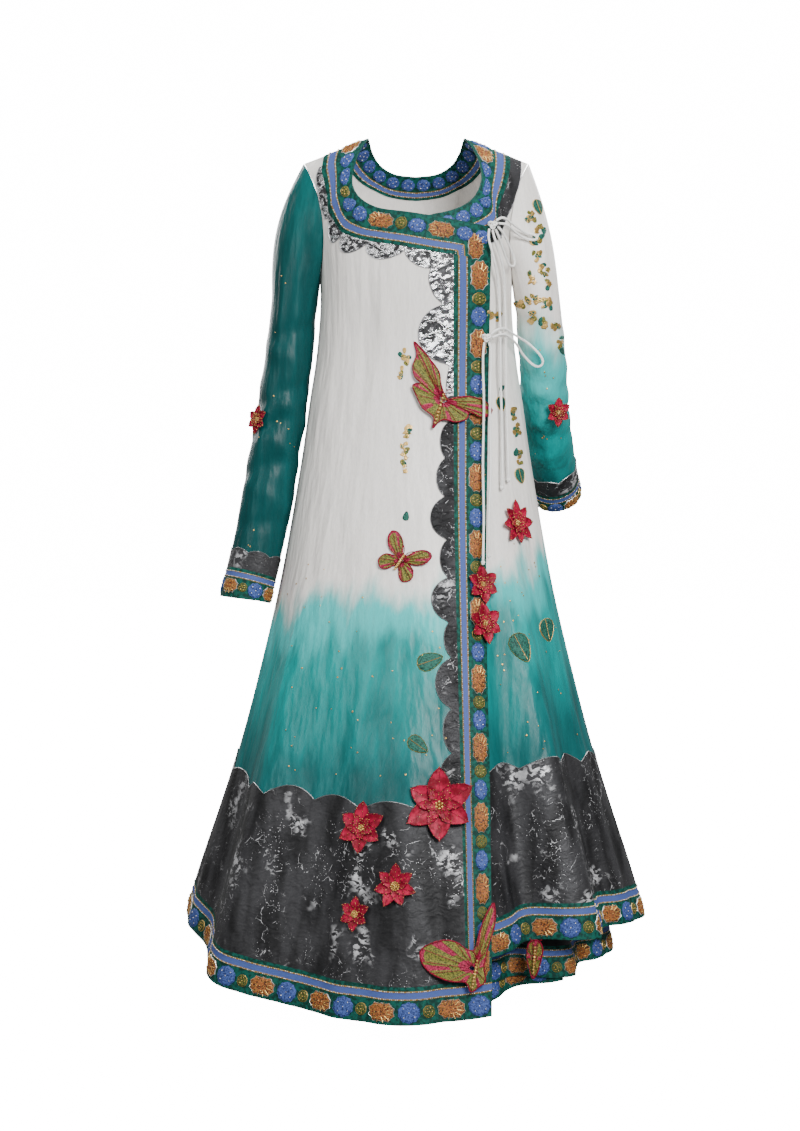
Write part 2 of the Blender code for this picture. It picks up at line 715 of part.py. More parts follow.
def underskirt_rows(angles_at):
    """Rows of the underskirt's points, which leave the outer cloth at its top and hang inside it."""
    hem_angles = angles_at(-1.2)
    rows = []
    for z in UNDERSKIRT_LEVELS:
        drop = (UNDERSKIRT_TOP - z) / (UNDERSKIRT_TOP - UNDERSKIRT_FREE)
        share = max(1 - (1 - UNDERSKIRT_SHARE) * drop, UNDERSKIRT_SHARE)
        rows.append([skirt_point(a, z, -CLOTH - SEAM, share) for a in angles_at(z)])
    for above in (UNDERSKIRT_RIBBON, 0.0):
        row = []
        for i, angle in enumerate(hem_angles):
            z = smooth_value(UNDERSKIRT_HEM, 1, angle) + above
            row.append(skirt_point(angles_at(z)[i], z, -CLOTH - SEAM, UNDERSKIRT_SHARE))
        rows.append(row)
    return rows


# The underskirt, front and back, with its ribbon, and the flap that hangs inside its front
for side, angles_at in (("front", front_angles), ("back", back_angles)):
    skirt = trimmed(underskirt_rows(angles_at), start=HALF_SEAM, end=HALF_SEAM)
    wall_of("underskirt_" + side, [skirt], CLOTH, "satin")
    ribbon_face = moved_out(skirt, CLOTH + SEAM)
    wall_of("underskirt_" + side + "_ribbon", [ribbon_face[-2:]], TRIM, "ribbon")
    if side == "front":
        flap_first, flap_last = LEFT_COLUMNS, PLACKET_OUT + UNDERFLAP_COLUMNS
        flap_angles = front_angles(UNDERSKIRT_LEVELS[-1])[flap_first : flap_last + 1]
        flap_hem = [smooth_value(UNDERFLAP_HEM, 1, angle) for angle in flap_angles]
        flap = []
        for levels in (
            [UNDERSKIRT_LEVELS[-1]] * len(flap_hem),
            [z + HEM_RIBBON for z in flap_hem],
            flap_hem,
        ):
            flap.append([
                skirt_point(front_angles(z)[flap_first + i], z, -CLOTH - SEAM, UNDERSKIRT_SHARE)
                for i, z in enumerate(levels)
            ])
        hung = moved_out(flap, -CLOTH - SEAM - UNDERFLAP_LEAN)
        flap = [moved_out(flap, -CLOTH - SEAM)[0]] + hung[1:]
        wall_of("underflap", [flap], CLOTH, "satin")
        flap_face = moved_out(flap, CLOTH + SEAM)
        wall_of("underflap_ribbon", [flap_face[-2:]], TRIM, "ribbon")


def sleeve_ring(sections, z, sign):
    """One ring of a sleeve at a level, square to the sleeve's run, from its inner side round."""
    x, y, wide, deep = (smooth_value(sections, column, z) for column in (1, 2, 3, 4))
    below, above = z - RUN_STEP, z + RUN_STEP
    run = Vector(
        (
            smooth_value(sections, 1, below) - smooth_value(sections, 1, above),
            smooth_value(sections, 2, below) - smooth_value(sections, 2, above),
            below - above,
        )
    ).normalized()
    side = (Vector((1, 0, 0)) - run * run.x).normalized()
    front = side.cross(run)
    front = front if front.y < 0 else -front
    ring = []
    for k in range(2 * ARMHOLE_COLUMNS):
        turn = math.pi * k / ARMHOLE_COLUMNS
        point = Vector((x, y, z)) - side * wide * math.cos(turn) + front * deep * math.sin(turn)
        ring.append(Vector((sign * point.x, point.y, point.z)))
    return ring


def sleeve_levels(sections):
    """Levels of a sleeve's rings, the last ones at the cuff ribbon's and foil's edges."""
    top, end = sections[0][0], sections[-1][0]
    levels = [top + (end - top) * part for part in shares(SLEEVE_SAMPLES)]
    places = [[smooth_value(sections, k, z) for k in (1, 2)] + [z] for z in levels]
    steps = np.linalg.norm(np.diff(np.array(places), axis=0), axis=1)
    reach = np.concatenate([[0], np.cumsum(steps)])
    whole = reach[-1]
    foil_at = whole - CUFF_RIBBON - CUFF_FOIL
    wanted = [foil_at * part for part in shares(SLEEVE_RINGS)] + [whole - CUFF_RIBBON, whole]
    return [float(np.interp(value, reach, levels)) for value in wanted]


def armhole_ring(sign):
    """The armhole's edge in space, from the underarm up its front and down its back."""
    edge = armhole(sign)
    under = Vector((sign * smooth_value(SECTIONS, 1, UNDERARM), 0.0, UNDERARM))
    front = [chest_point(x, z, -1) for x, z in edge]
    back = [chest_point(x, z, 1) for x, z in edge]
    return [under] + front[::-1] + back[1:]


def sleeve_rows(sections, sign, fullness):
    """Rows of a sleeve's points, from the armhole over the sleeve head down to the cuff."""
    levels = sleeve_levels(sections)
    hole = armhole_ring(sign)
    first = sleeve_ring(sections, levels[0], sign)
    rows = []
    for turned in HEAD_TURNS:
        row = []
        for k, (start, end) in enumerate(zip(hole, first)):
            height = 0.5 - 0.5 * math.cos(math.pi * k / ARMHOLE_COLUMNS)
            clear = HEAD_CLEAR_UNDERARM + (HEAD_CLEAR_TOP - HEAD_CLEAR_UNDERARM) * height
            full = fullness * height * math.sin(math.pi * turned)
            point = start.lerp(end, turned)
            point += Vector((sign * (clear * (1 - turned) + full), 0.0, full * HEAD_LIFT))
            row.append(point)
        rows.append(row)
    rows += [sleeve_ring(sections, z, sign) for z in levels]
    return [row[::-1] for row in rows] if sign < 0 else rows


for name, sections, sign, fullness in (
    ("left", LEFT_SLEEVE, -1, HEAD_FULLNESS_LEFT),
    ("right", RIGHT_SLEEVE, 1, HEAD_FULLNESS_RIGHT),
):
    rows = sleeve_rows(sections, sign, fullness)
    wall_of("sleeve_" + name, [rows], CLOTH, "satin", tube=True)
    face = moved_out(rows, CLOTH + SEAM, tube=True)
    foil = trimmed(face[-3:-1], bottom=HALF_SEAM)
    wall_of("cuff_foil_" + name, [foil], TRIM, "foil", tube=True)
    ribbon = trimmed(face[-2:], top=HALF_SEAM)
    wall_of("cuff_ribbon_" + name, [ribbon], TRIM, "ribbon", tube=True)


def surface_of(walls):
    """A surface to lay appliques and cords on, from the walls' outer faces."""
    points, faces = [], []
    for outer, tube in walls:
        first, across = len(points), len(outer[0])
        points += [point for row in outer for point in row]
        for k in range(len(outer) - 1):
            for i in range(across if tube else across - 1):
                j = (i + 1) % across
                a, b = first + k * across + i, first + (k + 1) * across + i
                c, d = first + (k + 1) * across + j, first + k * across + j
                faces += [(a, b, c), (a, c, d)]
    return BVHTree.FromPolygons(points, faces)


FRONT = surface_of(outer_faces)


def front_of(x, z, surface=FRONT):
    """Where an outer face lies at a place seen from the front, and which way it faces."""
    place, normal, face, far = surface.ray_cast(Vector((x, -1.0, z)), Vector((0, 1, 0)))
    if place is None:
        return Vector((x, 0.0, z)), Vector((0, -1, 0))
    return place, (normal if normal.y < 0 else -normal)


def applique(name, x, z, outline, lift, finish, tilt=0.0):
    """A flat motif inside an outline, laid against the gown where its highest point is."""
    place, normal = front_of(x, z)
    up = (Vector((0, 0, 1)) - normal * normal.z).normalized()
    turn = Matrix((up.cross(normal), up, normal)).transposed().to_4x4()
    turn = Matrix.Translation(place) @ turn @ Matrix.Rotation(math.radians(tilt), 4, "Z")

    def ring_at(share, points):
        ring = [(across * share, upward * share) for across, upward in points]
        return [Vector((across, upward, lift(across, upward))) for across, upward in ring]

    fine = []
    for (a, b), (c, d) in zip(outline, outline[1:] + outline[:1]):
        fine += [(a + (c - a) * part, b + (d - b) * part) for part in shares(3)[:-1]]
    spots = [point for part in shares(8)[1:] for point in ring_at(part, fine)]
    inside = 0.0
    for spot in [turn @ point for point in spots] + [place]:
        hit = FRONT.ray_cast(spot + normal * PROBE, -normal)[0]
        if hit is not None:
            inside = max(inside, (hit - spot).dot(normal))
    rise = normal * (inside + SEAM)
    rings = [ring_at(share, outline) for share in (APPLIQUE_RING, 1.0)]
    rows = [[turn @ point + rise for point in ring] for ring in rings]
    wall_of(name, [rows], APPLIQUE, finish, tube=True, centre=place + rise)


def petal_outline(radius):
    """The outline of a flower with pointed petals."""
    points = []
    for part in shares(PETALS * PETAL_POINTS)[:-1]:
        angle = 2 * math.pi * part
        open_share = abs(math.cos(angle * PETALS / 2)) ** PETAL_OPENING
        reach = radius * (PETAL_WAIST + (1 - PETAL_WAIST) * open_share)
        points.append((reach * math.cos(angle), reach * math.sin(angle)))
    return points


for name, x, z, radius in FLOWERS:
    cup = PETAL_CUP / radius
    applique(
        name, x, z, petal_outline(radius), lambda across, upward: cup * (across**2 + upward**2), "flower"
    )
for name, x, z, tilt, bend, wings in BUTTERFLIES:
    applique(name, x, z, wings, lambda across, upward: -bend * across**2, "butterfly", tilt)

# The cords lie on the appliques too
FRONT_OF_ALL = surface_of(outer_faces)


def curve_through(points, step):
    """Points a step apart on a smooth curve through a route."""
    points = [Vector(point) for point in points]
    ends = [2 * points[0] - points[1]] + points + [2 * points[-1] - points[-2]]
    fine = []
    for a, b, c, d in zip(ends, ends[1:], ends[2:], ends[3:]):
        for part in shares(8)[:-1]:
            fine.append(
                0.5 * (2 * b + (c - a) * part + (2 * a - 5 * b + 4 * c - d) * part**2
                       + (3 * b - a - 3 * c + d) * part**3)
            )
    fine.append(points[-1])
    steps = [(q - p).length for p, q in zip(fine, fine[1:])]
    reach = np.concatenate([[0], np.cumsum(steps)])
    count = max(4, round(reach[-1] / step))
    values = np.array([tuple(point) for point in fine])
    return [
        Vector(tuple(np.interp(reach[-1] * part, reach, values[:, k]) for k in range(3)))
        for part in shares(count)
    ]


def beside_knot(centre, end):
    """Where a cord meets a knot, on the side that its route leaves to."""
    away = Vector((end[0] - centre.x, 0.0, end[1] - centre.z)).normalized()
    wide, tall = KNOT_SIZE[0], KNOT_SIZE[2]
    reach = 1 / math.hypot(away.x / wide, away.z / tall)
    return centre + away * (reach + KNOT_GAP)


def tie(name, route, centre, over, both_ends):
    """A tie cord laid over the gown's face from a knot, along a route seen from the front."""
    top, bottom, rise, soft = CROSSING
    route = [(x, 0.0, z) for x, z in route]
    start = beside_knot(centre, (route[0][0], route[0][2]))
    route[0] = (start.x, 0.0, start.z)
    if both_ends:
        end = beside_knot(centre, (route[-1][0], route[-1][2]))
        route[-1] = (end.x, 0.0, end.z)
    flat = curve_through(route, CORD_STEP)
    places = []
    for point in flat:
        near = [
            front_of(point.x + dx, point.z + dz, FRONT_OF_ALL)[0].y
            for dx in CORD_ASIDE
            for dz in CORD_ABOVE
        ]
        cross = eased((top + soft - point.z) / soft) * eased((point.z - bottom + soft) / soft)
        places.append(min(near) - CORD / 2 - CORD_CLEAR - over * cross * rise)
    calm = [min(places[max(k - 1, 0) : k + 2]) for k in range(len(places))]
    for k, toward in ((0, 1.0), (1, 0.5)):
        calm[k] += (centre.y - calm[k]) * toward
        if both_ends:
            calm[-1 - k] += (centre.y - calm[-1 - k]) * toward
    line = bpy.data.curves.new(name, "CURVE")
    line.dimensions = "3D"
    line.bevel_depth = CORD / 2
    line.bevel_resolution = 2
    line.use_fill_caps = True
    line.render_resolution_u = 0
    spline = line.splines.new("POLY")
    spline.points.add(len(flat) - 1)
    for k, (point, y) in enumerate(zip(flat, calm)):
        spline.points[k].co = (point.x, y, point.z, 1.0)
    keep(name, bpy.data.objects.new(name, line), "cord")


def knot(name, x, z):
    """The knot of a bow, drawn tight against the placket. Gives its centre."""
    shape = bmesh.new()
    bmesh.ops.create_uvsphere(shape, u_segments=8, v_segments=6, radius=1.0)
    bmesh.ops.scale(shape, vec=Vector(KNOT_SIZE), verts=shape.verts)
    centre = Vector((x, front_of(x, z)[0].y - 0.05, z))
    for _ in range(12):
        apart = min(FRONT.find_nearest(centre + corner.co)[3] for corner in shape.verts)
        centre.y += apart - SEAM
    bmesh.ops.translate(shape, vec=centre, verts=shape.verts)
    mesh = bpy.data.meshes.new(name)
    shape.to_mesh(mesh)
    shape.free()
    mesh.shade_smooth()
    keep(name, bpy.data.objects.new(name, mesh), "cord")
    return centre


for bow, (x, z), over, cords in BOWS:
    centre = knot("knot_" + bow, x, z)
    for part, route in cords:
        tie(part + "_" + bow, route, centre, over, part.startswith("loop"))
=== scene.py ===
import math

import bpy
import numpy as np
from mathutils import Matrix, Vector
from mathutils.bvhtree import BVHTree


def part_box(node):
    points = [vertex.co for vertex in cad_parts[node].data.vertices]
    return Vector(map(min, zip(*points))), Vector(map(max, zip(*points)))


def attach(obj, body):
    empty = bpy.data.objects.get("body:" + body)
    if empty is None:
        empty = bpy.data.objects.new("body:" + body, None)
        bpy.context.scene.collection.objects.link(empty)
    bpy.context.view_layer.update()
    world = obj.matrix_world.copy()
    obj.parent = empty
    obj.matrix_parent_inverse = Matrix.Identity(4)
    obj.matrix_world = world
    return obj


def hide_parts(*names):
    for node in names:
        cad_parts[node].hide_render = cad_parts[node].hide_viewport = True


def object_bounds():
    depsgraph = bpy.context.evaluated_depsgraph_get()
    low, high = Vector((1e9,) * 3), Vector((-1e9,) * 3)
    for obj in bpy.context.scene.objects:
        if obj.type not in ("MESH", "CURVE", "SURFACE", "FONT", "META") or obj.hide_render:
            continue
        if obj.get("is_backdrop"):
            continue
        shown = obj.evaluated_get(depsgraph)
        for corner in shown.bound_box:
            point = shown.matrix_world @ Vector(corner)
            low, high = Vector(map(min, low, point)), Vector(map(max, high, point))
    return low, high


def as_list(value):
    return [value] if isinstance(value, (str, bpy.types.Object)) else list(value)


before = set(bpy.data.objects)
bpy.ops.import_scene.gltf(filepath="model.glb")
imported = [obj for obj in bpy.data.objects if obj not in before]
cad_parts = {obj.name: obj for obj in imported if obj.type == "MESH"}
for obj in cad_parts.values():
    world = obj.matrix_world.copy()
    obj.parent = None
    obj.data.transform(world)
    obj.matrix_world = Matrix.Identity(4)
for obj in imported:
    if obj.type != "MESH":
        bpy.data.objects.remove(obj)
cad_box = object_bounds()

# Studio
# A pale floor just under the hems, a white surround and soft boxes in front, above and behind.
# The camera stands level with the waist, a little to the side, and tilts slightly down.
CAMERA_PLACE = (-0.027, -3.4, -0.45)
CAMERA_TILT = 85.6
LENS = 64.04
PHOTO_WIDTH, PHOTO_HEIGHT = 800, 1131
SENSOR = 36.0
FLOOR = -1.425
FLOOR_SIZE = 14.0
FLOOR_PAINT = (0.9, 0.9, 0.9, 1.0)
FLOOR_ROUGHNESS = 0.8
FLOOR_GLOW = 16.0
WHITE_LIGHT = (1.0, 1.0, 1.0, 1.0)
SURROUND = 16.0
SURROUND_ON_CLOTH = 0.28

# Soft boxes: place, aim, width, power
SOFT_BOXES = (
    ((1.2, -2.9, 0.9), (0.0, 0.0, -0.6), 1.2, 172.0),
    ((-2.2, -1.9, 0.5), (0.0, 0.0, -0.6), 1.2, 34.0),
    ((0.2, -0.3, 2.1), (0.0, 0.0, -0.5), 1.2, 42.0),
    ((1.3, 2.4, 0.8), (0.0, 0.0, -0.6), 1.3, 52.0),
    ((-1.6, 2.2, 0.4), (0.0, 0.0, -0.6), 1.3, 44.0),
)

bpy.ops.object.select_all(action="DESELECT")
bpy.ops.object.camera_add(location=CAMERA_PLACE, rotation=(math.radians(CAMERA_TILT), 0.0, 0.0))
camera = bpy.context.object
camera.data.lens = LENS
camera.data.sensor_width = SENSOR
bpy.context.scene.camera = camera

for number, (place, aim, width, power) in enumerate(SOFT_BOXES):
    turn = (Vector(aim) - Vector(place)).to_track_quat("-Z", "Y").to_euler()
    bpy.ops.object.light_add(type="AREA", location=place, rotation=turn)
    soft_box = bpy.context.object
    soft_box.name = f"soft_box_{number}"
    soft_box.data.size = width
    soft_box.data.energy = power

bpy.ops.mesh.primitive_plane_add(size=FLOOR_SIZE, location=(0.0, 0.0, FLOOR))
floor = bpy.context.object
floor.name = "floor"
floor_finish = bpy.data.materials.new("floor_paint")
floor_finish.use_nodes = True
floor_paint = floor_finish.node_tree.nodes["Principled BSDF"]
floor_paint.inputs["Base Color"].default_value = FLOOR_PAINT
floor_paint.inputs["Roughness"].default_value = FLOOR_ROUGHNESS
floor_paint.inputs["Emission Color"].default_value = WHITE_LIGHT
floor_paint.inputs["Emission Strength"].default_value = FLOOR_GLOW
floor.data.materials.append(floor_finish)
floor.visible_diffuse = False
floor.visible_glossy = False
floor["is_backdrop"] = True

surround = bpy.data.worlds.new("surround")
surround.use_nodes = True
bpy.context.scene.world = surround
surround_nodes, surround_links = surround.node_tree.nodes, surround.node_tree.links
sky = surround_nodes["Background"]
sky.inputs["Color"].default_value = WHITE_LIGHT
seen = surround_nodes.new("ShaderNodeLightPath")
strength = surround_nodes.new("ShaderNodeMapRange")
strength.inputs["To Min"].default_value = SURROUND_ON_CLOTH
strength.inputs["To Max"].default_value = SURROUND
surround_links.new(seen.outputs["Is Camera Ray"], strength.inputs["Value"])
surround_links.new(strength.outputs["Result"], sky.inputs["Strength"])


# Satin panels
# The gown is cut from dip-dyed satin: a wrapped front, the front under it and a back in one
# piece. Each panel is a thin sheet on the sections of the body and skirt, sewn at the side seams.
CLOTH = 0.0012
TRIM = 0.0010
SEAM = 0.0003
UNDERLAP_ROOM = 0.0020

# Body and skirt sections: height, half width, depth in front, depth behind
SECTIONS = (
    (0.000, 0.205, 0.112, 0.095),
    (-0.100, 0.182, 0.120, 0.104),
    (-0.190, 0.164, 0.126, 0.106),
    (-0.260, 0.159, 0.124, 0.101),
    (-0.330, 0.163, 0.118, 0.100),
    (-0.380, 0.169, 0.119, 0.106),
    (-0.430, 0.177, 0.126, 0.117),
    (-0.540, 0.193, 0.148, 0.142),
    (-0.735, 0.228, 0.194, 0.188),
    (-0.905, 0.268, 0.240, 0.232),
    (-1.035, 0.301, 0.276, 0.262),
    (-1.120, 0.325, 0.300, 0.284),
    (-1.225, 0.357, 0.328, 0.310),
    (-1.305, 0.380, 0.348, 0.330),
    (-1.400, 0.404, 0.370, 0.350),
)

# Folds: angle of the ridge, reach before it, reach behind it, height at the hem, start level
FOLDS = (
    (-162, 16, 16, 0.022, -0.60),
    (-128, 15, 15, 0.026, -0.52),
    (-108, 10, 14, -0.014, -0.70),
    (-92, 14, 12, 0.012, -0.85),
    (-70, 12, 13, -0.018, -0.60),
    (-50, 14, 12, 0.024, -0.55),
    (-28, 10, 14, -0.012, -0.62),
    (-4, 14, 12, 0.014, -0.60),
    (31, 13, 12, -0.034, -0.46),
    (45, 13, 7, 0.030, -0.50),
    (60, 9, 12, -0.022, -0.50),
    (82, 15, 14, 0.010, -0.80),
    (104, 12, 12, -0.016, -0.65),
    (126, 14, 15, 0.026, -0.52),
    (146, 10, 10, -0.014, -0.62),
    (170, 18, 14, 0.020, -0.60),
)
FOLD_FULL = -1.30
FOLD_GROWTH = 1.3

# Small creases between the folds, in the same columns
CREASES = (
    (-176, 5, 6, 0.0040, -0.74),
    (-150, 6, 5, -0.0045, -0.66),
    (-139, 4, 5, 0.0035, -0.90),
    (-117, 5, 4, 0.0040, -0.70),
    (-99, 4, 5, -0.0030, -0.80),
    (-82, 5, 4, 0.0035, -0.64),
    (-60, 4, 5, -0.0040, -0.56),
    (-41, 4, 4, 0.0035, -0.72),
    (-35, 4, 5, -0.0030, -0.58),
    (-18, 5, 4, 0.0040, -0.66),
    (-11, 3, 4, -0.0028, -0.62),
    (5, 4, 3, -0.0030, -0.78),
    (25, 4, 4, 0.0034, -0.60),
    (38, 3, 4, 0.0030, -0.66),
    (53, 4, 3, -0.0035, -0.58),
    (66, 4, 4, 0.0040, -0.60),
    (74, 4, 5, -0.0035, -0.70),
    (92, 5, 4, 0.0030, -0.76),
    (112, 4, 5, 0.0040, -0.62),
    (134, 5, 4, -0.0040, -0.70),
    (155, 4, 5, 0.0035, -0.66),
    (163, 4, 4, -0.0030, -0.80),
)

# Hems of the panels: angle from the centre front, level
OVERLAP_HEM = ((-90, -1.305), (-60, -1.350), (-30, -1.380), (0, -1.383), (25, -1.366))
RIGHT_HEM = ((-20, -1.330), (15, -1.300), (40, -1.284), (60, -1.292), (90, -1.305))
BACK_HEM = ((90, -1.305), (130, -1.322), (180, -1.330), (230, -1.322), (270, -1.305))

# Shoulder seam and armhole, seen from the front
NECK_POINT = (0.080, 0.000)
SHOULDER_POINT = (0.186, -0.040)
SHOULDER_ROUNDING = 0.145
UNDERARM = -0.235
ARMHOLE_PULL = (0.136, -0.125)

# Necklines seen from the front: half breadth, height
OVERLAP_NECK = (
    (0.1165, -0.153),
    (0.0570, -0.1435),
    (-0.020, -0.131),
    (-0.063, -0.124),
    (-0.092, -0.107),
    (-0.105, -0.083),
    (-0.103, -0.055),
    (-0.094, -0.026),
    (-0.080, 0.000),
)
RIGHT_NECK = (
    (0.018, -0.137),
    (0.060, -0.127),
    (0.088, -0.111),
    (0.103, -0.088),
    (0.106, -0.062),
    (0.098, -0.030),
    (0.080, 0.000),
)
BACK_NECK = ((0.000, -0.054), (0.035, -0.050), (0.060, -0.037), (0.074, -0.018), (0.080, 0.000))

# Placket: where its inner and outer edge run, by level
PLACKET = (
    (-0.150, 0.0570, 0.1165),
    (-0.600, 0.0580, 0.1100),
    (-1.100, 0.0640, 0.1030),
    (-1.400, 0.0700, 0.1020),
)

# Columns of the panels, and how many strands of quads each column is divided into
LEFT_COLUMNS = 15
PLACKET_COLUMNS = 2
RIGHT_COLUMNS = 11
BACK_COLUMNS = 26
ARMHOLE_COLUMNS = 9
UNDERLAP_COLUMNS = 4
RAMP_COLUMNS = 2
PLACKET_OUT = LEFT_COLUMNS + PLACKET_COLUMNS
UNDERLAP = LEFT_COLUMNS - UNDERLAP_COLUMNS
STRANDS = 6
SKIRT_QUADS = 118
YOKE_QUADS = 24
LAP = CLOTH + TRIM + 2 * SEAM + UNDERLAP_ROOM

# A column's angle is read at this level. Above the yoke's start the bodice leaves the skirt's line
ANGLE_LEVEL = -1.2
YOKE_START = 0.6
LIFT_LEAN = (1.0, 3.0, 0.0)
WELD = 0.00004
CREASE_DEGREES = 50

# Overlap flare beside the placket
FLARE = 0.034
FLARE_START = -0.55
FLARE_FULL = -1.38
FLARE_COLUMNS = 8

WHITE_SATIN = (0.80, 0.77, 0.73, 1.0)
PALE_TEAL = (0.040, 0.46, 0.45, 1.0)
TEAL = (0.0004, 0.235, 0.226, 1.0)
DEEP_TEAL = (0.0002, 0.090, 0.092, 1.0)

# Marks of the satin: size, detail, stretch
STREAKS = (0.045, 4.0, (0.8, 0.8, 5.0))
CLOUDS = (0.16, 2.0)
SATIN_THREAD = (0.0016, 2.0, (1.0, 1.0, 9.0))
SATIN_CRUMPLE = (0.030, 3.0, (0.7, 0.7, 2.0))
SATIN_DRAPE = (0.034, 2.0, (0.8, 0.8, 7.0))
SATIN_GLOSS = 0.26
SATIN_ROUGHNESS = 0.42
SATIN_RELIEF = 0.0024
STREAK_REACH = 0.14
CLOUD_REACH = 0.08
# Painted fold highlight and shade: how strongly the drape streaks lighten and darken the dyed cloth
PAINTED_FOLD_SHADING = 1.3


def curve_value(rows, column, at):
    """A column of a table at a level, on a smooth curve through the table's rows."""
    table = np.array(sorted(rows), float)
    keys, values = table[:, 0], table[:, column]
    slopes = np.gradient(values, keys)
    slopes[1:-1] = (values[2:] - values[:-2]) / (keys[2:] - keys[:-2])
    at = np.clip(at, keys[0], keys[-1])
    i = np.clip(np.searchsorted(keys, at) - 1, 0, len(keys) - 2)
    span = keys[i + 1] - keys[i]
    t = (at - keys[i]) / span
    start = values[i] * (2 * t**3 - 3 * t**2 + 1) + slopes[i] * span * (t**3 - 2 * t**2 + t)
    return start + values[i + 1] * (3 * t**2 - 2 * t**3) + slopes[i + 1] * span * (t**3 - t**2)


def eased(t):
    """Zero to one with a soft start and end."""
    t = np.clip(t, 0.0, 1.0)
    return t * t * (3 - 2 * t)


def fold_height(angle, z):
    """How far folds and creases move the cloth out."""
    total = np.zeros(np.broadcast(angle, z).shape)
    for ridge, before, behind, height, start in FOLDS + CREASES:
        turn = (angle - ridge + 180) % 360 - 180
        share = np.clip(turn / np.where(turn > 0, behind, before), -1, 1)
        crest = np.cos(0.5 * math.pi * share) ** 2
        total = total + height * crest * eased((start - z) / (start - FOLD_FULL)) ** FOLD_GROWTH
    return total


def skirt_points(angle, z, out=0.0, share=1.0):
    """Points of the body or skirt at angles from the centre front and at levels."""
    angle, z = np.broadcast_arrays(np.asarray(angle, float), np.asarray(z, float))
    turn = np.radians(angle)
    width = curve_value(SECTIONS, 1, z)
    front, behind = curve_value(SECTIONS, 2, z), curve_value(SECTIONS, 3, z)
    depth = np.where(np.cos(turn) > 0, front, behind)
    x, y = width * np.sin(turn), -depth * np.cos(turn)
    reach = np.hypot(x, y)
    away = ((reach + fold_height(angle, z)) * share + out) / reach
    return np.stack([x * away, y * away, z], axis=-1)


def chest_points(x, z, side):
    """Points of the bodice above the underarm: side is -1 in front and 1 behind."""
    width = curve_value(SECTIONS, 1, z)
    depth = curve_value(SECTIONS, 2 if side < 0 else 3, z)
    along = np.clip((np.abs(x) - NECK_POINT[0]) / (SHOULDER_POINT[0] - NECK_POINT[0]), 0, 1)
    shoulder = NECK_POINT[1] + (SHOULDER_POINT[1] - NECK_POINT[1]) * along
    drop = np.clip((shoulder - z) / SHOULDER_ROUNDING, 0, 1)
    over = np.sqrt(1 - (1 - drop) ** 2)
    y = side * depth * over * np.sqrt(np.clip(1 - (x / width) ** 2, 0, 1))
    return np.stack([x, y, z], axis=-1)


def smooth_line(points, pieces=8):
    """A smooth curve through a line of points."""
    points = np.array(points, float)
    ends = np.vstack([2 * points[0] - points[1], points, 2 * points[-1] - points[-2]])
    run = []
    for a, b, c, d in zip(ends, ends[1:], ends[2:], ends[3:]):
        for t in np.arange(pieces) / pieces:
            bend = (2 * a - 5 * b + 4 * c - d) * t**2 + (3 * b - a - 3 * c + d) * t**3
            run.append(0.5 * (2 * b + (c - a) * t + bend))
    return np.vstack(run + [points[-1]])


def line_at(points, share):
    """Places along a line of points, at shares of its length."""
    steps = np.linalg.norm(np.diff(points, axis=0), axis=1)
    reach = np.concatenate([[0], np.cumsum(steps)]) / steps.sum()
    return np.stack([np.interp(share, reach, column) for column in points.T], axis=-1)


def placket_angle(z, column):
    return np.degrees(np.arcsin(curve_value(PLACKET, column, z) / curve_value(SECTIONS, 1, z)))


def front_angle(column, z):
    """The angle of a column of the front at a level."""
    inner, outer = placket_angle(z, 1), placket_angle(z, 2)
    left = -90 + (inner + 90) * column / LEFT_COLUMNS
    middle = inner + (outer - inner) * (column - LEFT_COLUMNS) / PLACKET_COLUMNS
    right = outer + (90 - outer) * (column - PLACKET_OUT) / RIGHT_COLUMNS
    return np.where(column < LEFT_COLUMNS, left, np.where(column < PLACKET_OUT, middle, right))


def lap_over(column):
    return LAP * eased((column - UNDERLAP + 1 + RAMP_COLUMNS) / RAMP_COLUMNS)


def overlap_skirt(column, z):
    """The wrapped front, raised over the layer under it and flared beside the placket."""
    flare = eased((FLARE_START - z) / (FLARE_START - FLARE_FULL))
    near = eased((column - PLACKET_OUT + FLARE_COLUMNS) / FLARE_COLUMNS)
    return skirt_points(front_angle(column, z), z, lap_over(column) + FLARE * flare * near)


def right_skirt(column, z):
    return skirt_points(front_angle(column + UNDERLAP, z), z)


def back_skirt(column, z):
    return skirt_points(90 + 180 * column / BACK_COLUMNS, z)


def armhole(sign, part):
    """The armhole's edge seen from the front, from the shoulder point down to the underarm."""
    under = (float(curve_value(SECTIONS, 1, UNDERARM)), UNDERARM)
    near, middle, far = (1 - part) ** 2, 2 * part * (1 - part), part**2
    x = SHOULDER_POINT[0] * near + ARMHOLE_PULL[0] * middle + under[0] * far
    z = SHOULDER_POINT[1] * near + ARMHOLE_PULL[1] * middle + under[1] * far
    return np.stack([sign * x, z], axis=-1)


OVERLAP_NECKLINE = smooth_line(OVERLAP_NECK[1:])[::-1]
OVERLAP_TOP = np.array(OVERLAP_NECK[1::-1])
RIGHT_NECKLINE = smooth_line(RIGHT_NECK)
HALF_NECKLINE = smooth_line(BACK_NECK[::-1])
BACK_NECKLINE = np.vstack([HALF_NECKLINE, (HALF_NECKLINE * (-1, 1))[-2::-1]])
RIGHT_WIDTH = PLACKET_OUT + RIGHT_COLUMNS - UNDERLAP
OVERLAP_ACROSS = ARMHOLE_COLUMNS + PLACKET_OUT
RIGHT_ACROSS = ARMHOLE_COLUMNS + RIGHT_WIDTH
BACK_ACROSS = 2 * ARMHOLE_COLUMNS + BACK_COLUMNS


def under_row(skirt, column):
    """The row of a panel at the underarm, seen from the front."""
    return skirt(column, np.full_like(column, UNDERARM))[..., (0, 2)]


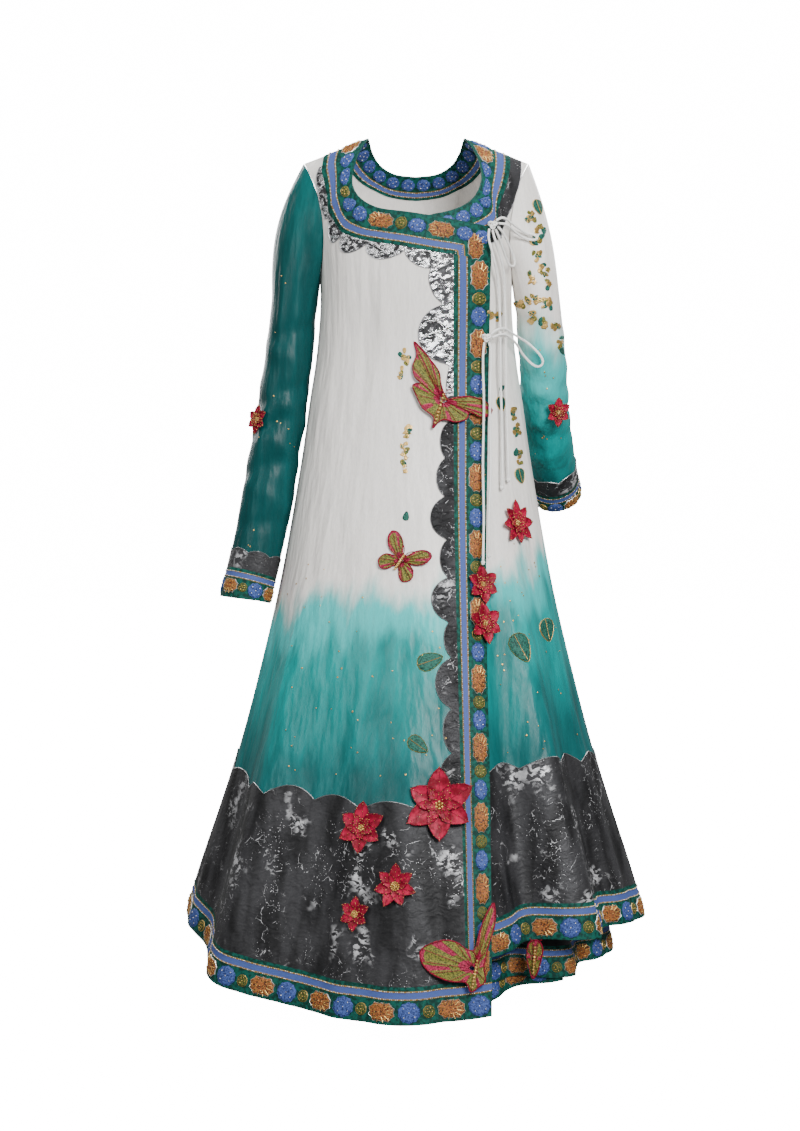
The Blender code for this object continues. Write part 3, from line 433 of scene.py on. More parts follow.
def overlap_edges(column):
    """Neckline and rim of the wrapped front's bodice, at columns from the shoulder."""
    corner = ARMHOLE_COLUMNS + LEFT_COLUMNS
    curve = line_at(OVERLAP_NECKLINE, np.clip(column / corner, 0, 1))
    top = line_at(OVERLAP_TOP, np.clip((column - corner) / PLACKET_COLUMNS, 0, 1))
    neck = np.where((column < corner)[..., None], curve, top)
    side = armhole(-1, np.clip(column / ARMHOLE_COLUMNS, 0, 1))
    row = under_row(overlap_skirt, np.maximum(column - ARMHOLE_COLUMNS, 0))
    return neck, np.where((column < ARMHOLE_COLUMNS)[..., None], side, row)


def right_edges(column):
    neck = line_at(RIGHT_NECKLINE, column / RIGHT_ACROSS)
    row = under_row(right_skirt, np.minimum(column, RIGHT_WIDTH))
    side = armhole(1, np.clip((RIGHT_ACROSS - column) / ARMHOLE_COLUMNS, 0, 1))
    return neck, np.where((column < RIGHT_WIDTH)[..., None], row, side)


def back_edges(column):
    neck = line_at(BACK_NECKLINE, column / BACK_ACROSS)
    near = armhole(1, np.clip(column / ARMHOLE_COLUMNS, 0, 1))
    far = armhole(-1, np.clip((BACK_ACROSS - column) / ARMHOLE_COLUMNS, 0, 1))
    row = under_row(back_skirt, np.clip(column - ARMHOLE_COLUMNS, 0, BACK_COLUMNS))
    rim = np.where((column < ARMHOLE_COLUMNS)[..., None], near, row)
    return neck, np.where((column > ARMHOLE_COLUMNS + BACK_COLUMNS)[..., None], far, rim)


class Panel:
    """A panel of the gown: its skirt and its bodice meet at the underarm.

    It keeps the skirt's points and width in columns, the bodice's edges, width and the column
    where the skirt starts, the side, the hem's table and the angle of a skirt column.
    """

    def __init__(self, skirt, edges, width, first, across, side, hem, angle):
        self.skirt, self.edges, self.width, self.first = skirt, edges, width, first
        self.across, self.side, self.hem, self.angle = across, side, hem, angle

    def raised(self, column):
        return lap_over(column - self.first) if self.skirt is overlap_skirt else 0 * column

    def lifted(self, flat, column):
        """Points of the bodice seen from the front, raised where the panel laps over another."""
        points = chest_points(flat[..., 0], flat[..., 1], self.side)
        away = points * LIFT_LEAN
        away /= np.linalg.norm(away, axis=-1, keepdims=True)
        return points + away * self.raised(column)[..., None]

    def bodice(self, column, part):
        """Points between the neckline, part 0, and the underarm, part 1."""
        neck, rim = self.edges(column)
        flat = neck + (rim - neck) * part[..., None]
        points, end = self.lifted(flat, column), self.lifted(rim, column)
        row = np.clip(column - self.first, 0, self.width)
        joined = self.skirt(row, np.full_like(row, UNDERARM))
        inside = (column >= self.first) & (column <= self.first + self.width)
        shift = np.where(inside[..., None], joined - end, 0.0)
        return points + shift * eased((part - YOKE_START) / (1 - YOKE_START))[..., None]

    def hem_level(self, column):
        return curve_value(self.hem, 1, self.angle(column))


OVERLAP = Panel(overlap_skirt, overlap_edges, PLACKET_OUT, ARMHOLE_COLUMNS, OVERLAP_ACROSS, -1,
                OVERLAP_HEM, lambda column: front_angle(column, ANGLE_LEVEL))
RIGHT = Panel(right_skirt, right_edges, RIGHT_WIDTH, 0, RIGHT_ACROSS, -1,
              RIGHT_HEM, lambda column: front_angle(column + UNDERLAP, ANGLE_LEVEL))
BACK = Panel(back_skirt, back_edges, BACK_COLUMNS, ARMHOLE_COLUMNS, BACK_ACROSS, 1,
             BACK_HEM, lambda column: 90 + 180 * column / BACK_COLUMNS)


def outward(grid, closed=False):
    """The directions square to a grid of points, on its outer side."""
    across = np.gradient(grid, axis=1)
    if closed:
        ends = grid[:, 1] - grid[:, -2]
        across[:, 0], across[:, -1] = ends, ends
    turn = np.cross(np.gradient(grid, axis=0), across)
    return turn / np.maximum(np.linalg.norm(turn, axis=2, keepdims=True), 1e-12)


# The outer face of each cloth, for what is laid on it
outer_faces = []


def cloth_grid(surface, across, down, lift, thickness, closed=False, turned=None):
    """A grid primitive laid on a surface, which takes shares across and down.

    Gives the grid and its outer face. Its UV map is the flat cloth in metres, and turned may
    change that where a pattern turns a corner.
    """
    bpy.ops.object.select_all(action="DESELECT")
    bpy.ops.mesh.primitive_grid_add(x_subdivisions=across, y_subdivisions=down, size=1.0)
    piece = bpy.context.object
    mesh = piece.data
    flat = np.empty(3 * len(mesh.vertices))
    mesh.vertices.foreach_get("co", flat)
    column = np.rint((flat[0::3] + 0.5) * across).astype(int)
    row = np.rint((0.5 - flat[1::3]) * down).astype(int)
    shares_down, shares_across = np.mgrid[0 : down + 1, 0 : across + 1].astype(float)
    grid = surface(shares_across / across, shares_down / down)
    away = outward(grid, closed)
    grid = grid + away * lift
    mesh.vertices.foreach_set("co", grid[row, column].ravel())
    middle = grid[down // 2]
    run = np.concatenate([[0], np.cumsum(np.linalg.norm(np.diff(middle, axis=0), axis=1))])
    fall = np.linalg.norm(np.diff(grid, axis=0), axis=2).mean(axis=1)
    fall = np.concatenate([[0], np.cumsum(fall)])
    corner = np.empty(len(mesh.loops), int)
    mesh.loops.foreach_get("vertex_index", corner)
    flat_places = np.stack([run[column[corner]], fall[row[corner]]], axis=1)
    if turned:
        flat_places = turned(flat_places, run, fall[-1])
    mesh.uv_layers[0].data.foreach_set("uv", flat_places.ravel())
    mesh.update()
    face = grid + away * thickness
    outer_faces.append(face)
    return piece, face


def finish_cloth(name, grids, thickness, material, slot, *nodes):
    """Joins the grids of one cloth, closes them, gives the cloth its thickness and its finish."""
    bpy.ops.object.select_all(action="DESELECT")
    for grid in grids:
        grid.select_set(True)
    bpy.context.view_layer.objects.active = grids[0]
    if len(grids) > 1:
        bpy.ops.object.join()
    piece = bpy.context.object
    piece.name = name
    bpy.ops.object.mode_set(mode="EDIT")
    bpy.ops.mesh.select_all(action="SELECT")
    bpy.ops.mesh.remove_doubles(threshold=WELD)
    bpy.ops.object.mode_set(mode="OBJECT")
    wall = piece.modifiers.new("wall", "SOLIDIFY")
    wall.thickness = thickness
    wall.offset = 1.0
    bpy.ops.object.modifier_apply(modifier=wall.name)
    bpy.ops.object.shade_smooth_by_angle(angle=math.radians(CREASE_DEGREES))
    piece.data.materials.append(material)
    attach(piece, "root")
    if nodes:
        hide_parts(*nodes)
    return piece


class Dye:
    """A socket of a finish. Sums and products of sockets add their Math nodes."""

    def __init__(self, tree, socket=None):
        self.tree, self.socket = tree, socket

    def node(self, kind, settings=None, sockets=None, output=0):
        """Adds a node: its settings are set first, then its sockets."""
        made = self.tree.nodes.new(kind)
        for name, value in (settings or {}).items():
            setattr(made, name, value)
        for name, value in (sockets or {}).items():
            if isinstance(value, Dye):
                self.tree.links.new(value.socket, made.inputs[name])
            else:
                made.inputs[name].default_value = value
        return Dye(self.tree, made.outputs[output])

    def math(self, operation, first, second):
        sockets = {0: first, 1: second}
        return self.node("ShaderNodeMath", {"operation": operation}, sockets)

    def __add__(self, other):
        return self.math("ADD", self, other)

    def __radd__(self, other):
        return self.math("ADD", other, self)

    def __sub__(self, other):
        return self.math("SUBTRACT", self, other)

    def __rsub__(self, other):
        return self.math("SUBTRACT", other, self)

    def __mul__(self, other):
        return self.math("MULTIPLY", self, other)

    def __lt__(self, other):
        return self.math("LESS_THAN", self, other)

    def __gt__(self, other):
        return self.math("GREATER_THAN", self, other)


def tint(share, first, second):
    """One colour passing into another."""
    settings = {"data_type": "RGBA"}
    return share.node("ShaderNodeMix", settings, {0: share, 6: first, 7: second}, output=2)


def passing(value, start, end):
    """Zero to one, softly, as a value passes from start to end."""
    settings = {"interpolation_type": "SMOOTHSTEP"}
    return value.node("ShaderNodeMapRange", settings, {0: value, 1: start, 2: end})


def grain(place, size, detail=3.0, stretch=(1.0, 1.0, 1.0)):
    """Soft noise whose marks are about a size across, in metres."""
    scale = tuple(1 / (size * value) for value in stretch)
    sockets = {0: place, "Scale": scale}
    spread = place.node("ShaderNodeMapping", None, sockets)
    return place.node("ShaderNodeTexNoise", None, {"Vector": spread, "Scale": 1.0, "Detail": detail})


def shaded(colour, value):
    """A colour made lighter or darker by a value near 1."""
    return value.node("ShaderNodeHueSaturation", None, {"Color": colour, "Value": value})


def new_finish(name, roughness, metallic=0.0, sheen=0.0, gloss=0.5):
    """A finish with its even values set, the shader node and a start for its nodes."""
    material = bpy.data.materials.new(name)
    material.use_nodes = True
    shader = material.node_tree.nodes["Principled BSDF"]
    shader.inputs["Roughness"].default_value = roughness
    shader.inputs["Metallic"].default_value = metallic
    shader.inputs["Sheen Weight"].default_value = sheen
    shader.inputs["Specular IOR Level"].default_value = gloss
    return material, shader, Dye(material.node_tree)


def wire(shader, name, value):
    value.tree.links.new(value.socket, shader.inputs[name])


def object_place(start):
    return start.node("ShaderNodeTexCoord", None, None, output=3)


def relief(height, depth):
    """The Normal of a small relief: a height from 0 to 1 times a depth in metres."""
    sockets = {"Height": height, "Distance": depth, "Strength": 1.0}
    return height.node("ShaderNodeBump", None, sockets)


def dyed_satin(name, white_above, teal_below, deep_below, gloss=SATIN_GLOSS, slant=0.0, painted_shade=1.0):
    """Satin dipped in teal: the dye climbs into the white in feathered streaks.

    A slant lets the dye reach higher towards the wearer's left. Below 1, painted_shade darkens the whole
    colour as painted shade.
    """
    material, shader, start = new_finish(name, SATIN_ROUGHNESS, gloss=gloss)
    place = object_place(start)
    x = start.node("ShaderNodeSeparateXYZ", None, {0: place}, output=0)
    z = start.node("ShaderNodeSeparateXYZ", None, {0: place}, output=2)
    streak = grain(place, *STREAKS) - 0.5
    cloud = grain(place, *CLOUDS) - 0.5
    level = z + streak * STREAK_REACH + cloud * CLOUD_REACH - x * slant
    first = passing(level, white_above, (white_above + teal_below) / 2)
    second = passing(level, (white_above + teal_below) / 2, teal_below)
    third = passing(level, teal_below, deep_below)
    colour = tint(first, WHITE_SATIN, PALE_TEAL)
    colour = tint(second, colour, TEAL)
    colour = tint(third, colour, DEEP_TEAL)
    thread = grain(place, *SATIN_THREAD)
    crumple = grain(place, *SATIN_CRUMPLE)
    drape = grain(place, *SATIN_DRAPE)
    # Thread tone is the cloth's own; the factor for the left sleeve is painted shade, and the drape streaks
    # paint fold highlights and fold shade on the dyed cloth.
    colour = shaded(colour, (0.88 + thread * 0.30) * painted_shade * (1 + (drape - 0.5) * second * PAINTED_FOLD_SHADING))
    wire(shader, "Base Color", colour)
    wire(shader, "Roughness", 0.30 + thread * 0.22)
    wire(shader, "Normal", relief(crumple * 0.8 + drape * 2.6 + thread * 0.06, SATIN_RELIEF))
    return material


BODY_SATIN = dyed_satin("body_satin", -0.70, -0.82, -1.04, slant=0.18)


def panel_cloth(name, panel):
    """A panel with its bodice and skirt, from the neckline to the hem."""
    def bodice(u, v):
        return panel.bodice(u * panel.across, v)

    def skirt(u, v):
        column = u * panel.width
        return panel.skirt(column, UNDERARM + (panel.hem_level(column) - UNDERARM) * v)

    top, _ = cloth_grid(bodice, panel.across * STRANDS, YOKE_QUADS, 0.0, CLOTH)
    low, _ = cloth_grid(skirt, panel.width * STRANDS, SKIRT_QUADS, 0.0, CLOTH)
    return finish_cloth(name, [top, low], CLOTH, BODY_SATIN, "satin", name)


overlap_cloth = panel_cloth("front_overlap", OVERLAP)
right_cloth = panel_cloth("front_right", RIGHT)
back_cloth = panel_cloth("back_panel", BACK)

# Sleeves
# Long narrow sleeves in the same satin, set into the armholes: the left one hangs straight and
# is dyed all through, the right one bends back at the elbow and is white down to the elbow.

# Sections: height, centre x, centre y, half width, half depth
LEFT_SLEEVE = (
    (-0.265, 0.2035, 0.006, 0.0375, 0.056),
    (-0.350, 0.2125, 0.005, 0.0385, 0.055),
    (-0.432, 0.2235, 0.000, 0.0400, 0.053),
    (-0.520, 0.2390, -0.006, 0.0415, 0.051),
    (-0.610, 0.2530, -0.014, 0.0415, 0.049),
    (-0.690, 0.2690, -0.024, 0.0405, 0.047),
    (-0.765, 0.2870, -0.036, 0.0400, 0.045),
)
RIGHT_SLEEVE = (
    (-0.265, 0.2035, 0.010, 0.0370, 0.056),
    (-0.330, 0.2105, 0.018, 0.0380, 0.056),
    (-0.400, 0.2180, 0.042, 0.0390, 0.054),
    (-0.460, 0.2250, 0.076, 0.0400, 0.050),
    (-0.515, 0.2340, 0.116, 0.0405, 0.047),
    (-0.565, 0.2440, 0.158, 0.0410, 0.045),
    (-0.601, 0.2525, 0.192, 0.0420, 0.044),
)
HEAD_FULLNESS = {-1: 0.018, 1: 0.009}
HEAD_CLEAR_TOP = 0.0010
HEAD_CLEAR_UNDERARM = 0.0034
CUFF_RIBBON = 0.045
CUFF_FOIL = 0.032
SLEEVE_AROUND = 54
SLEEVE_DOWN = 78
HEAD_SHARE = 0.16
HEAD_LIFT = 0.4
RUN_STEP = 0.004
LEVELS = 81

# Creases die out over these shares of the length, below the head and above the cuff's foil
CREASE_IN, CREASE_IN_SOFT = 0.12, 0.08
CREASE_OUT, CREASE_OUT_SOFT = 0.84, 0.06
CREASE_SPREAD = 1.7

# Creases of a sleeve: share down it, turn round it in half turns, length, breadth, slant, height
SLEEVE_CREASES = (
    (0.24, 0.35, 0.55, 0.016, 0.10, -0.0030),
    (0.31, 0.70, 0.50, 0.014, -0.08, 0.0030),
    (0.42, 0.45, 0.60, 0.014, 0.12, -0.0035),
    (0.47, 0.30, 0.45, 0.012, -0.10, 0.0035),
    (0.52, 0.62, 0.50, 0.013, 0.14, -0.0040),
    (0.57, 0.40, 0.55, 0.014, -0.12, 0.0032),
    (0.63, 0.55, 0.60, 0.014, 0.10, -0.0035),
    (0.72, 0.35, 0.45, 0.015, -0.09, 0.0028),
    (0.80, 0.60, 0.50, 0.014, 0.08, -0.0026),
    (0.45, 1.50, 0.60, 0.015, 0.10, 0.0034),
    (0.55, 1.40, 0.60, 0.014, -0.10, -0.0036),
    (0.66, 1.60, 0.50, 0.015, 0.12, 0.0030),
)
SLEEVE_SATIN = {
    # The left sleeve's colour is darkened to 0.55 as painted shade.
    -1: dyed_satin("left_sleeve_satin", 0.30, 0.12, -0.30, 0.16, painted_shade=0.55),
    1: dyed_satin("right_sleeve_satin", -0.27, -0.50, -0.60, 0.20),
}


class Sleeve:
    """A sleeve: its head turns from the armhole to the first section, then it follows them."""

    def __init__(self, sections, sign):
        self.sections, self.sign = sections, sign
        levels = np.linspace(sections[0][0], sections[-1][0], LEVELS)
        places = np.stack([curve_value(sections, 1, levels), curve_value(sections, 2, levels), levels])
        steps = np.linalg.norm(np.diff(places, axis=1), axis=0)
        self.levels, self.reach = levels, np.concatenate([[0], np.cumsum(steps)])
        self.length = self.reach[-1]

    def half_turns(self, u):
        """Half turns from the sleeve's inner side, for a share round it."""
        return 2 * (u if self.sign > 0 else 1 - u)

    def ring(self, z, k):
        """Points of the sleeve's rings at levels, k half turns from its inner side."""
        x, y, wide, deep = (curve_value(self.sections, column, z) for column in (1, 2, 3, 4))
        above, below = ([curve_value(self.sections, column, level) for column in (1, 2)]
                        for level in (z - RUN_STEP, z + RUN_STEP))
        run = [above[0] - below[0], above[1] - below[1], np.full_like(z, -2 * RUN_STEP)]
        run = np.stack(run, axis=-1)
        run /= np.linalg.norm(run, axis=-1, keepdims=True)
        side = np.array((1.0, 0.0, 0.0)) - run * run[..., :1]
        side /= np.linalg.norm(side, axis=-1, keepdims=True)
        front = np.cross(side, run)
        front = np.where(front[..., 1:2] < 0, front, -front)
        centre = np.stack([x, y, z], axis=-1)
        turn = math.pi * k
        points = centre - side * (wide * np.cos(turn))[..., None]
        points = points + front * (deep * np.sin(turn))[..., None]
        return points * (self.sign, 1.0, 1.0)

    def head(self, turned, k):
        """Points between the armhole, turned 0, and the first section, turned 1."""
        front = k <= 1
        part = np.where(front, 1 - k, k - 1)
        edge = armhole(self.sign, part)
        before = chest_points(edge[..., 0], edge[..., 1], -1)
        behind = chest_points(edge[..., 0], edge[..., 1], 1)
        start = np.where(front[..., None], before, behind)
        end = self.ring(np.full_like(k, self.sections[0][0]), k)
        height = 0.5 - 0.5 * np.cos(math.pi * k)
        clear = HEAD_CLEAR_UNDERARM + (HEAD_CLEAR_TOP - HEAD_CLEAR_UNDERARM) * height
        full = HEAD_FULLNESS[self.sign] * height * np.sin(math.pi * turned)
        points = start + (end - start) * turned[..., None]
        out = self.sign * (clear * (1 - turned) + full)
        return points + np.stack([out, 0 * out, HEAD_LIFT * full], axis=-1)

    def down(self, k, reach):
        """Points at a length down the sleeve from its first section."""
        return self.ring(np.interp(reach, self.reach, self.levels), k)

    def whole(self, u, v):
        """Points from the armhole, v 0, to the cuff's edge, v 1, round the sleeve by u."""
        k = self.half_turns(u)
        head = self.head(np.clip(v / HEAD_SHARE, 0, 1), k)
        low = self.down(k, np.clip((v - HEAD_SHARE) / (1 - HEAD_SHARE), 0, 1) * self.length)
        return np.where((v < HEAD_SHARE)[..., None], head, low)

    def creased(self, u, v):
        """The whole sleeve with its creases, which die out above the cuff's foil."""
        points = self.whole(u, v)
        away = outward(points, closed=True)
        k = self.half_turns(u)
        total = np.zeros_like(u)
        for share, turn, length, breadth, slant, height in SLEEVE_CREASES:
            across = (k - turn + 1) % 2 - 1
            off = (v - share - slant * across * 0.9) / (CREASE_SPREAD * breadth)
            total = total + height * np.exp(-off**2 - (across / length) ** 2)
        starting, ending = (v - CREASE_IN) / CREASE_IN_SOFT, (CREASE_OUT - v) / CREASE_OUT_SOFT
        total = total * eased(ending) * eased(starting)
        return points + away * total[..., None]


SLEEVES = {-1: Sleeve(LEFT_SLEEVE, -1), 1: Sleeve(RIGHT_SLEEVE, 1)}
sleeve_cloths = {}
for side_name, sign in (("left", -1), ("right", 1)):
    sleeve = SLEEVES[sign]
    grid, _ = cloth_grid(sleeve.creased, SLEEVE_AROUND, SLEEVE_DOWN, 0.0, CLOTH, closed=True)
    name = "sleeve_" + side_name
    sleeve_cloths[sign] = finish_cloth(name, [grid], CLOTH, SLEEVE_SATIN[sign], "satin", name)

# Underskirt and its front flap
# A second skirt of the same satin hangs inside the first, joined to it at the hip, with a short
# flap inside its front. Only their borders show, below the outer hems.
UNDERSKIRT_HEM = ((-90, -1.362), (0, -1.352), (90, -1.362), (180, -1.372), (270, -1.362))
UNDERSKIRT_TOP = -0.500
UNDERSKIRT_SHARE = 0.835
UNDERSKIRT_FULL = -1.05
UNDERSKIRT_RIBBON = 0.050
UNDERFLAP_TOP = -1.200
UNDERFLAP_HEM = ((0, -1.386), (16, -1.386), (28, -1.378), (45, -1.358))
UNDERFLAP_LEAN = 0.004
UNDERFLAP_COLUMNS = 4
UNDER = CLOTH + SEAM


def under_points(angle, z):
    """Points of the underskirt, which leaves the outer cloth at its top."""
    share = 1 - (1 - UNDERSKIRT_SHARE) * (UNDERSKIRT_TOP - z) / (UNDERSKIRT_TOP - UNDERSKIRT_FULL)
    return skirt_points(angle, z, -UNDER, np.maximum(share, UNDERSKIRT_SHARE))


def under_hem(angle):
    return curve_value(UNDERSKIRT_HEM, 1, angle)


def under_panel(first):
    """Half of the underskirt, from the angle of its first side."""
    def surface(u, v):
        angle = first + 180 * u
        return under_points(angle, UNDERSKIRT_TOP + (under_hem(angle) - UNDERSKIRT_TOP) * v)

    return surface


def under_strip(first, above, breadth):
    """A strip of a breadth round half of the underskirt, above its hem."""
    def surface(u, v):
        angle = first + 180 * u
        return under_points(angle, under_hem(angle) + above + breadth * (1 - v))

    return surface


def flap_column(u):
    return LEFT_COLUMNS + u * (PLACKET_OUT + UNDERFLAP_COLUMNS - LEFT_COLUMNS)


def flap_hem(u):
    return curve_value(UNDERFLAP_HEM, 1, front_angle(flap_column(u), ANGLE_LEVEL))


def flap(u, v):
    z = UNDERFLAP_TOP + (flap_hem(u) - UNDERFLAP_TOP) * v
    points = skirt_points(front_angle(flap_column(u), z), z, -UNDER, UNDERSKIRT_SHARE)
    lean = UNDERFLAP_LEAN * np.clip(v * 1.5, 0, 1)
    return points - outward(points) * (UNDER + lean)[..., None]


under_pieces = {}
for under_name, surface, quads, length in (
    ("underskirt_front", under_panel(-90), 90, 46),
    ("underskirt_back", under_panel(90), 90, 46),
    ("underflap", flap, 24, 12),
):
    grid, _ = cloth_grid(surface, quads, length, 0.0, CLOTH)
    under_pieces[under_name] = finish_cloth(under_name, [grid], CLOTH, BODY_SATIN, "satin", under_name)

# Foil bands
# Crinkled foil cloth with scalloped upper edges is sewn above the hems and cuffs, down the inner
# side of the placket, under the neck band and along the right shoulder.
FOIL_TALL = 0.318
FOIL_SHORT = 0.272
FOIL_RISE_FROM, FOIL_RISE_OVER = -75, 40
FOIL_SCALLOP = 0.016
FOIL_SCALLOPS_ROUND = 22
SCALLOP_ROUNDING = 0.8
HEM_RIBBON = 0.056
NECK_RIBBON = 0.036
SHOULDER_RIBBON = 0.046
FRONT_RIBBON = 0.054
FOIL_LIFT = CLOTH + SEAM
CHARCOAL = (0.010, 0.010, 0.011, 1.0)
# The next colour is the lighter charcoal of the painted fold light on the foil.
PAINTED_LIT_CHARCOAL = (0.040, 0.040, 0.043, 1.0)
SILVER = (0.82, 0.82, 0.84, 1.0)

# Marks of the foil: size, detail, stretch
WARPING = (0.020, 4.0)
FOIL_WEAVE = (0.0014, 2.0, (5.0, 5.0, 0.9))
FOIL_FOLD_SHADE = (0.030, 2.0, (1.0, 1.0, 9.0))
MARKED_ZONES = (0.055, 3.0, (1.0, 1.0, 2.0))
CRACKED = (0.012, 3.0)
DOTTED = (0.016, 3.0)
DULL_CRUMPLE = (0.0080, 5.0, (1.5, 1.5, 0.8))
LIT_CRUMPLE = (0.0080, 5.0, (1.5, 1.5, 0.6))
GLINT_PATCHES = (0.060, 3.0)
FOIL_METAL = 0.30
FOIL_WARP = (0.030, 0.022, 0.026)
CRACKS = 40.0
DOTS = 260.0
DULL_RELIEF, LIT_RELIEF = 0.0014, 0.0040


def foil_finish(name, lit=None):
    """Foil cloth: a dull charcoal weave with hairlines, dots, a few crumpled patches of painted highlight
    and streaks of painted fold shade.

    Between the two levels of lit the foil turns upwards into metal, painted silver on its crumples as
    highlights and near black between them.
    """
    material, shader, start = new_finish(name, 0.45, metallic=FOIL_METAL, gloss=0.30)
    place = object_place(start)
    warp = grain(place, *WARPING)
    shift = start.node("ShaderNodeCombineXYZ", None, dict(enumerate(warp * reach for reach in FOIL_WARP)))
    bent = start.node("ShaderNodeVectorMath", {"operation": "ADD"}, {0: place, 1: shift})
    weave = grain(place, *FOIL_WEAVE)
    # Painted fold light and shade: vertical streaks pass the foil's colour between charcoal and a lighter
    # charcoal.
    fold_shade = passing(grain(place, *FOIL_FOLD_SHADE), 0.34, 0.66)
    settings = {"feature": "DISTANCE_TO_EDGE"}
    edge = start.node("ShaderNodeTexVoronoi", settings, {"Vector": bent, "Scale": CRACKS})
    zone = passing(grain(place, *MARKED_ZONES), 0.44, 0.58)
    hairline = (1 - passing(edge, 0.004, 0.020)) * passing(grain(place, *CRACKED), 0.50, 0.60) * zone
    spot = start.node("ShaderNodeTexVoronoi", None, {"Vector": place, "Scale": DOTS})
    dot = (spot < 0.17) * zone * passing(grain(place, *DOTTED), 0.47, 0.56)
    crumple = grain(bent, *(LIT_CRUMPLE if lit else DULL_CRUMPLE))
    # Painted highlights: in rare patches the crumples are tinted silver as glints.
    painted_glint = passing(crumple, 0.47, 0.56)
    glint_patch = passing(grain(place, *GLINT_PATCHES), 0.58, 0.70)
    print_and_glint = start.math("MAXIMUM", hairline * 0.62, dot * 0.70)
    print_and_glint = start.math("MAXIMUM", print_and_glint, glint_patch * painted_glint * 0.6)
    colour = shaded(tint(fold_shade, CHARCOAL, PAINTED_LIT_CHARCOAL), 0.62 + weave * 0.76)
    if lit:
        z = start.node("ShaderNodeSeparateXYZ", None, {0: place}, output=2)
        above = passing(z + (warp - 0.5) * 0.05, lit[0], lit[1])
        # Painted highlights: above the waist the crumples are painted silver and the rest stays near black.
        print_and_glint = start.math("MAXIMUM", print_and_glint, above * (0.04 + passing(crumple, 0.47, 0.535) * 0.96))
        wire(shader, "Metallic", FOIL_METAL + above * 0.65)
    wire(shader, "Base Color", tint(print_and_glint, colour, SILVER))
    wire(shader, "Roughness", 0.52 - print_and_glint * 0.28)
    height = crumple * 1.1 + warp * 1.2 + weave * 0.05
    wire(shader, "Normal", relief(height, LIT_RELIEF if lit else DULL_RELIEF))
    return material


HEM_FOIL = foil_finish("hem_foil_cloth")
PLACKET_FOIL = foil_finish("placket_foil_cloth", (-0.47, -0.40))


def foil_top(angle, tall):
    """Height of the foil above the hem, with its scalloped edge."""
    wave = np.abs(np.sin(np.radians(angle) * FOIL_SCALLOPS_ROUND / 2))
    return tall + FOIL_SCALLOP * (wave**SCALLOP_ROUNDING - 0.5)


def hem_foil(panel, first_column, last_column, tall):
    """The surface of the foil above a hem."""
    def surface(u, v):
        column = first_column + u * (last_column - first_column)
        hem = panel.hem_level(column)
        top = hem + foil_top(panel.angle(column), tall(panel.angle(column)))
        return panel.skirt(column, top + (hem + HEM_RIBBON - top) * v)

    return surface


def overlap_tall(angle):
    """The wrapped front's foil is short at the side seam and rises towards the front."""
    rising = eased((angle - FOIL_RISE_FROM) / FOIL_RISE_OVER)
    return FOIL_SHORT + (FOIL_TALL - FOIL_SHORT) * rising


def short(angle):
    return FOIL_SHORT + 0 * angle


right_first = PLACKET_OUT - UNDERLAP
foil_edges = []
foils = {}

# Foil of the hems: name, panel, first and last column, height above the hem, quads along it
for foil_name, panel, first, last, tall, quads in (
    ("overlap_hem_foil", OVERLAP, 0, LEFT_COLUMNS, overlap_tall, 150),
    ("right_hem_foil", RIGHT, right_first, RIGHT_WIDTH, short, 100),
    ("back_hem_foil", BACK, 0, BACK_COLUMNS, short, 220),
):
    grid, face = cloth_grid(hem_foil(panel, first, last, tall), quads, 24, FOIL_LIFT, TRIM)
    foils[foil_name] = finish_cloth(foil_name, [grid], TRIM, HEM_FOIL, "foil", foil_name)
    foil_edges.append(face[0])

# A plain strip of the foil lies above the ribbons of the underskirt
UNDERSKIRT_FOIL = 0.045
for side_name, first in (("front", -90), ("back", 90)):
    foil_name = f"underskirt_{side_name}_foil"
    surface = under_strip(first, UNDERSKIRT_RIBBON, UNDERSKIRT_FOIL)
    grid, _ = cloth_grid(surface, 200, 4, FOIL_LIFT, TRIM)
    foils[foil_name] = finish_cloth(foil_name, [grid], TRIM, HEM_FOIL, "foil")

# The foil above each cuff has small scallops
CUFF_SCALLOP = 0.006
CUFF_SCALLOPS = 3.5
for side_name, sign in (("left", -1), ("right", 1)):
    sleeve = SLEEVES[sign]

    def cuff_foil(u, v, sleeve=sleeve):
        k = sleeve.half_turns(u)
        wave = CUFF_SCALLOP * (np.abs(np.sin(math.pi * k * CUFF_SCALLOPS)) ** SCALLOP_ROUNDING - 0.5)
        top = sleeve.length - CUFF_RIBBON - CUFF_FOIL - wave
        return sleeve.down(k, top + (sleeve.length - CUFF_RIBBON - top) * v)

    grid, face = cloth_grid(cuff_foil, 84, 5, FOIL_LIFT, TRIM, closed=True)
    foil_name = "cuff_foil_" + side_name
    foils[foil_name] = finish_cloth(foil_name, [grid], TRIM, HEM_FOIL, "foil", foil_name)
    foil_edges.append(face[0])

# Ribbon borders
# Woven emerald ribbon edges the necklines, the placket, the hems and the cuffs. On the cloth's
# side it has a thin green edge, then a blue stripe between rows of gold beads.
EMERALD = (0.0003, 0.028, 0.020, 1.0)
BRIGHT_EMERALD = (0.0005, 0.080, 0.060, 1.0)
STRIPE_BLUE = (0.060, 0.100, 0.30, 1.0)
GOLD_THREAD = (0.26, 0.15, 0.04, 1.0)
EDGE_SHARE = 0.13
STRIPE_SHARE = 0.33
BEAD_LINE = 0.02
RIBBON_ROUGHNESS = 0.55
RIBBON_GLOSS = 0.18
RIBBON_WEAVE = (0.0011, 2.0)
RIBBON_FIELD = (0.006, 3.0)
RIBBON_RELIEF = 0.0006


